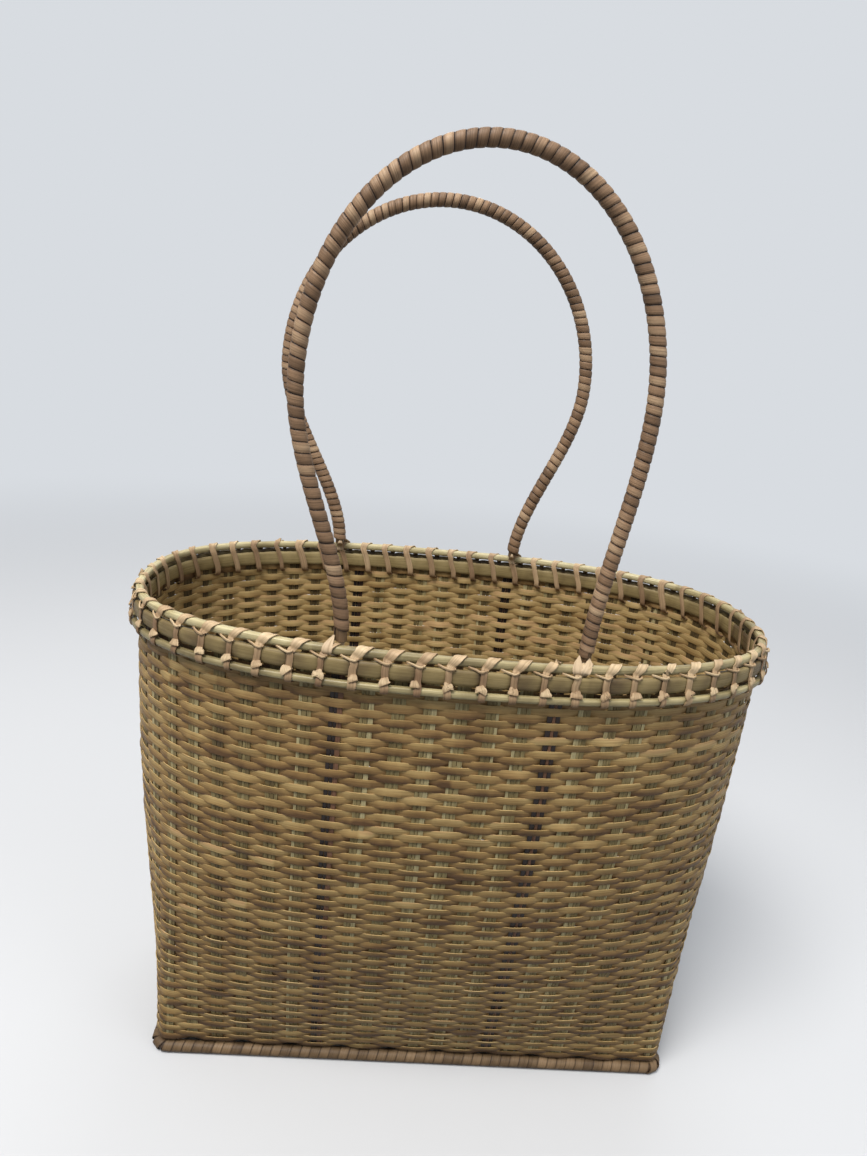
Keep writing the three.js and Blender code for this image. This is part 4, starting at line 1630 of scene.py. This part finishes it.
class Handle(Assembly):
    """One handle: a bent cane, the strip wound round it and the ties of its two feet.

    The wrap's outline gives its shift along the handle in pitches, its reach in shares of the
    wrap's radius, and a factor on its tone, which is painted shade: dark at the edges of each turn,
    darkest where a turn is tucked in, in the crease between turns.

    Attributes:
        steps: Stops to a turn of the wrap.
        core_stops: Stops of the cane.
        tie_steps: Samples of a tie from one stop to the next.
        tie_thickness: Half the thickness of a tie's strip.
        core_tone: Tone of the cane.
        wrap_tones: Middle and spread of the tones of the wrap's turns.
        tie_tones: Lowest of the ties' tones, and their range.
    """

    steps = 16
    core_stops = 160
    tie_steps = 4
    tie_thickness = 0.0003
    core_tone = 0.4
    wrap_tones = (0.66, 0.5)
    tie_tones = (0.4, 0.5)
    # Columns: shift, reach and a tone factor; the factor paints shade into the creases between turns.
    wrap_outline = (
        (-0.52, 0.84, 0.0),
        (-0.46, 0.90, 0.0),
        (-0.37, 0.945, 0.8),
        (-0.1, 0.985, 1.0),
        (0.25, 1.0, 1.0),
        (0.43, 0.975, 0.85),
        (0.5, 0.92, 0.1),
        (0.5, 0.84, 0.0),
        (0.0, 0.8, 0.0),
    )

    def __init__(self, wall: WallShape, materials: dict[str, bpy.types.Material], sizes: HandleSizes) -> None:
        """Keeps the handle's sizes and works out its line.

        Args:
            wall: Shape of the wall.
            materials: Materials by the record's slot.
            sizes: Sizes of this handle.
        """
        super().__init__(wall, materials)
        self.sizes = sizes
        self.body = f"{sizes.word}_handle"
        self.line = HandleLine(sizes, wall)

    def build(self) -> None:
        """Builds the core, the wrap and the two ties."""
        word = self.sizes.word
        core = StrandMesh(seed=51).add(self._core())
        self.piece(core, f"{word}_handle_cane", "handle_core", f"{word}_handle_core")
        wrap = StrandMesh(seed=52).add(self._wrap())
        self.piece(wrap, f"{word}_handle_strip", "handle_wrap", f"{word}_handle_wrap")
        for seed, (side, place) in enumerate(zip(("left", "right"), self.sizes.stakes)):
            mesh = StrandMesh(seed=53 + seed).add(self._tie(place, seed))
            self.piece(mesh, f"{word}_{side}_tie_strips", "white_tie", f"{word}_{side}_tie")

    def _core(self) -> Strands:
        """Makes the bent cane, from end to end.

        Returns:
            The cane.
        """
        distance = np.linspace(0, self.line.length, self.core_stops)
        middle, _, away = self.line.frame(distance)
        half = self.sizes.core / 2
        side = np.broadcast_to(self.line.inward, middle.shape) * half
        tone = np.full((1, len(distance)), self.core_tone)
        return Strands.swept(middle[None], (away * half)[None], side[None], Outline.ROUND, tone)

    def _wrap(self) -> Strands:
        """Makes the strip wound round the cane.

        Turns lie at a pitch that goes evenly from the left foot's to the right foot's, and each has
        one edge tucked under the turn before it and the other standing proud.

        Returns:
            The strip.
        """
        sizes, line = self.sizes, self.line
        rng = np.random.default_rng(61)
        span = line.length - 2 * sizes.bare
        mean = (sizes.first_pitch - sizes.last_pitch) / math.log(sizes.first_pitch / sizes.last_pitch)
        turns = span / mean - 1
        knots = int(turns) + 2
        phase = np.arange(int(turns * self.steps) + 1) / self.steps
        growth = (sizes.last_pitch - sizes.first_pitch) / span
        start = sizes.bare + sizes.first_pitch / 2
        waver = np.interp(phase, np.arange(knots), rng.normal(size=knots)) * sizes.waver
        distance = start + sizes.first_pitch * np.expm1(growth * phase) / growth
        pitch = sizes.first_pitch + growth * (distance - sizes.bare)
        margin = sizes.bare + pitch / 2
        distance = np.clip(distance + waver, margin, line.length - margin)
        # The third column is painted shade, dark in the crease between turns.
        shift, reach, shade = np.array(self.wrap_outline).T
        middle, _, away = line.frame(distance[:, None] + shift * pitch[:, None])
        side = np.broadcast_to(line.inward, middle.shape)
        angle = (phase * TAU)[:, None, None]
        radial = np.cos(angle) * away + np.sin(angle) * side
        points = middle + (reach * sizes.wrap / 2)[:, None] * radial
        mid, spread = self.wrap_tones
        tone = mid + spread * (rng.random(knots) - 0.5)[np.floor(phase).astype(int)]
        return Strands(points[None], (tone[:, None] * shade)[None])

    def _tie(self, place: float, seed: int) -> Strands:
        """Makes the strips that hold a leg: they go over the top cane and back under it.

        Args:
            place: Place of the leg's foot.
            seed: 0 for the left foot and 1 for the right one.

        Returns:
            The strips.
        """
        wall = self.wall
        rng = np.random.default_rng(70 + seed)
        values = spline(np.array(TIE_STRIPS[seed]), self.tie_steps, False)
        sides = wall.point(np.array([place - 0.5, place + 0.5]), 0.0, wall.rim_height)
        spacing = np.linalg.norm(sides[1] - sides[0])
        shift, offset, height, half = (values[..., axis] * MM for axis in range(4))
        middle = wall.point(place + shift / spacing, offset, height)
        ahead = ahead_of(middle, False)
        wide = square_to(wall.along(place, wall.rim_height, 0.3), ahead)
        thick = np.cross(wide, ahead) * self.tie_thickness
        lowest, spread = self.tie_tones
        tone = np.repeat(lowest + spread * rng.random((len(middle), 1)), middle.shape[1], axis=1)
        return Strands.swept(middle, wide * half[..., None], thick, Outline.STRIP, tone)


HANDLES = (
    HandleSizes(
        "front", (6, 13.8), half_width=0.084, lean=0.0084, rise=0.2385,
        first_pitch=0.0058, last_pitch=0.0040, wrap=0.0080,
    ),
    HandleSizes(
        "back", (37, 45), half_width=0.104, lean=-0.004, rise=0.242,
        first_pitch=0.0052, last_pitch=0.0044, wrap=0.0092,
    ),
)


# Camera and studio


def placed(place: tuple[float, float, float], *axes: Array) -> Matrix:
    """Where an object stands that has its own x, y and z along the given axes."""
    return Matrix.Translation(place) @ Matrix(np.stack(axes, axis=1).tolist()).to_4x4()


@dataclass(frozen=True)
class PhotoCamera:
    """The photo's camera, found from the rim, the rail and the wall's edges.

    Angles are in degrees, the focal length in pixels of the photo's width.
    """

    width: float = 867.0
    focal: float = 772.11
    place: tuple[float, float, float] = (-0.04573, -0.46216, 0.46498)
    yaw: float = 3.8148
    pitch: float = 17.1849
    roll: float = -6.0472

    def build(self) -> None:
        """Makes the camera and sets it as the scene's."""
        yaw, pitch, roll = (math.radians(angle) for angle in (self.yaw, self.pitch, self.roll))
        ahead = np.array([math.sin(yaw) * math.cos(pitch), math.cos(yaw) * math.cos(pitch), -math.sin(pitch)])
        level = np.array([math.cos(yaw), -math.sin(yaw), 0.0])
        down = np.cross(ahead, level)
        right = math.cos(roll) * level + math.sin(roll) * down
        lower = -math.sin(roll) * level + math.cos(roll) * down
        data = bpy.data.cameras.new("photo_camera")
        data.sensor_fit = "HORIZONTAL"
        data.sensor_width = 36.0
        data.lens = self.focal / self.width * data.sensor_width
        data.clip_start = 0.01
        camera = shown("photo_camera", data)
        camera.matrix_world = placed(self.place, right, -lower, -ahead)
        bpy.context.scene.camera = camera


@dataclass(frozen=True)
class Lamp:
    """A soft square lamp that looks at the tote."""

    name: str
    place: tuple[float, float, float]
    size: float
    power: float
    colour: Colour = (255, 255, 255)

    def build(self, target: tuple[float, float, float]) -> None:
        """Makes the lamp.

        Args:
            target: The point that it looks at.
        """
        data = bpy.data.lights.new(self.name, "AREA")
        data.size = self.size
        data.energy = self.power
        data.color = linear(self.colour)
        back = unit(np.array(self.place) - np.array(target))
        side = unit(np.cross([0.0, 0.0, 1.0], back))
        shown(self.name, data).matrix_world = placed(self.place, side, np.cross(back, side), back)


class Studio:
    """Pale floor, pale surroundings and soft lamps.

    Attributes:
        floor_size: Length of the floor's sides in metres.
        floor_colour: The floor as the camera sees it.
        bounce_colour: The floor as it lights the tote.
        sky_colour: Colour of the sky.
        light: Strength of the sky's light at the horizon and overhead.
        fade: Distances between which the floor turns into the sky, in metres.
        target: The point that the lamps look at.
        lamps: The lamps.
    """

    floor_size = 8.0
    floor_colour: Colour = (192, 194, 197)
    bounce_colour: Colour = (76, 76, 76)
    sky_colour: Colour = (216, 220, 225)
    light: Span = (0.3, 0.85)
    fade: Span = (0.7, 2.0)
    target = (0.0, 0.0, 0.2)
    lamps = (
        Lamp("key_lamp", (-0.6, -0.8, 2.0), 0.9, 59.0, (255, 251, 246)),
        Lamp("fill_lamp", (1.5, -0.8, 1.4), 1.4, 9.0),
        Lamp("back_lamp", (0.3, 1.3, 2.0), 1.3, 10.0),
    )

    def build(self) -> None:
        """Makes the floor, the world and the lamps, and sets a plain view transform."""
        self._floor()
        self._world()
        for lamp in self.lamps:
            lamp.build(self.target)
        bpy.context.scene.view_settings.view_transform = "Standard"

    def _floor(self) -> None:
        """Makes a square of plain pale floor, which turns into the sky's own colour far out."""
        half = self.floor_size / 2
        corners = [(-half, -half, 0), (half, -half, 0), (half, half, 0), (-half, half, 0)]
        mesh = bpy.data.meshes.new("floor")
        mesh.from_pydata(corners, [], [(0, 1, 2, 3)])
        tree = ShaderTree(bpy.data.materials.new("pale_floor"))
        bounce, floor, sky = (
            (*linear(colour), 1) for colour in (self.bounce_colour, self.floor_colour, self.sky_colour)
        )
        colour = tree.add("Mix", {0: tree.seen(), 6: bounce, 7: floor}, data_type="RGBA")
        plain = {"Base Color": colour.outputs[2], "Roughness": 0.9, "Specular IOR Level": 0.1}
        ground = tree.add("BsdfPrincipled", plain).outputs["BSDF"]
        haze = tree.add("Emission", {"Color": sky, "Strength": 1.0}).outputs["Emission"]
        place = tree.add("TexCoord", {}).outputs["Object"]
        away = tree.add("VectorMath", {0: place}, operation="LENGTH").outputs["Value"]
        share = tree.mapped(away, self.fade, (0.0, 1.0), interpolation_type="SMOOTHSTEP")
        surface = tree.add("MixShader", {0: share, 1: ground, 2: haze})
        tree.add("OutputMaterial", {"Surface": surface.outputs["Shader"]})
        mesh.materials.append(tree.owner)
        shown("floor", mesh)

    def _world(self) -> None:
        """Makes a sky that lights more from above, and shows one even colour behind the tote."""
        world = bpy.data.worlds.new("pale_sky")
        tree = ShaderTree(world)
        direction = tree.add("TexCoord", {}).outputs["Generated"]
        upwards = tree.add("SeparateXYZ", {"Vector": direction}).outputs["Z"]
        light = tree.mapped(upwards, (0.0, 1.0), self.light)
        strength = tree.add("Mix", {0: tree.seen(), 2: light, 3: 1.0}).outputs[0]
        sky = {"Color": (*linear(self.sky_colour), 1), "Strength": strength}
        background = tree.add("Background", sky)
        tree.add("OutputWorld", {"Surface": background.outputs["Background"]})
        bpy.context.scene.world = world


def main() -> None:
    """Builds the camera, the tote's sub-assemblies and the studio."""
    logging.basicConfig(level=logging.INFO, format="%(name)s %(message)s")
    PhotoCamera().build()
    wall = WallShape()
    materials = {finish.slot: finish.material() for finish in FINISHES}
    for assembly in (WovenWall, Stakes, WovenBase, Rim, Lashing, FootRail):
        assembly(wall, materials).build()
    for sizes in HANDLES:
        Handle(wall, materials, sizes).build()
    Studio().build()


if __name__ == "__main__":
    main()
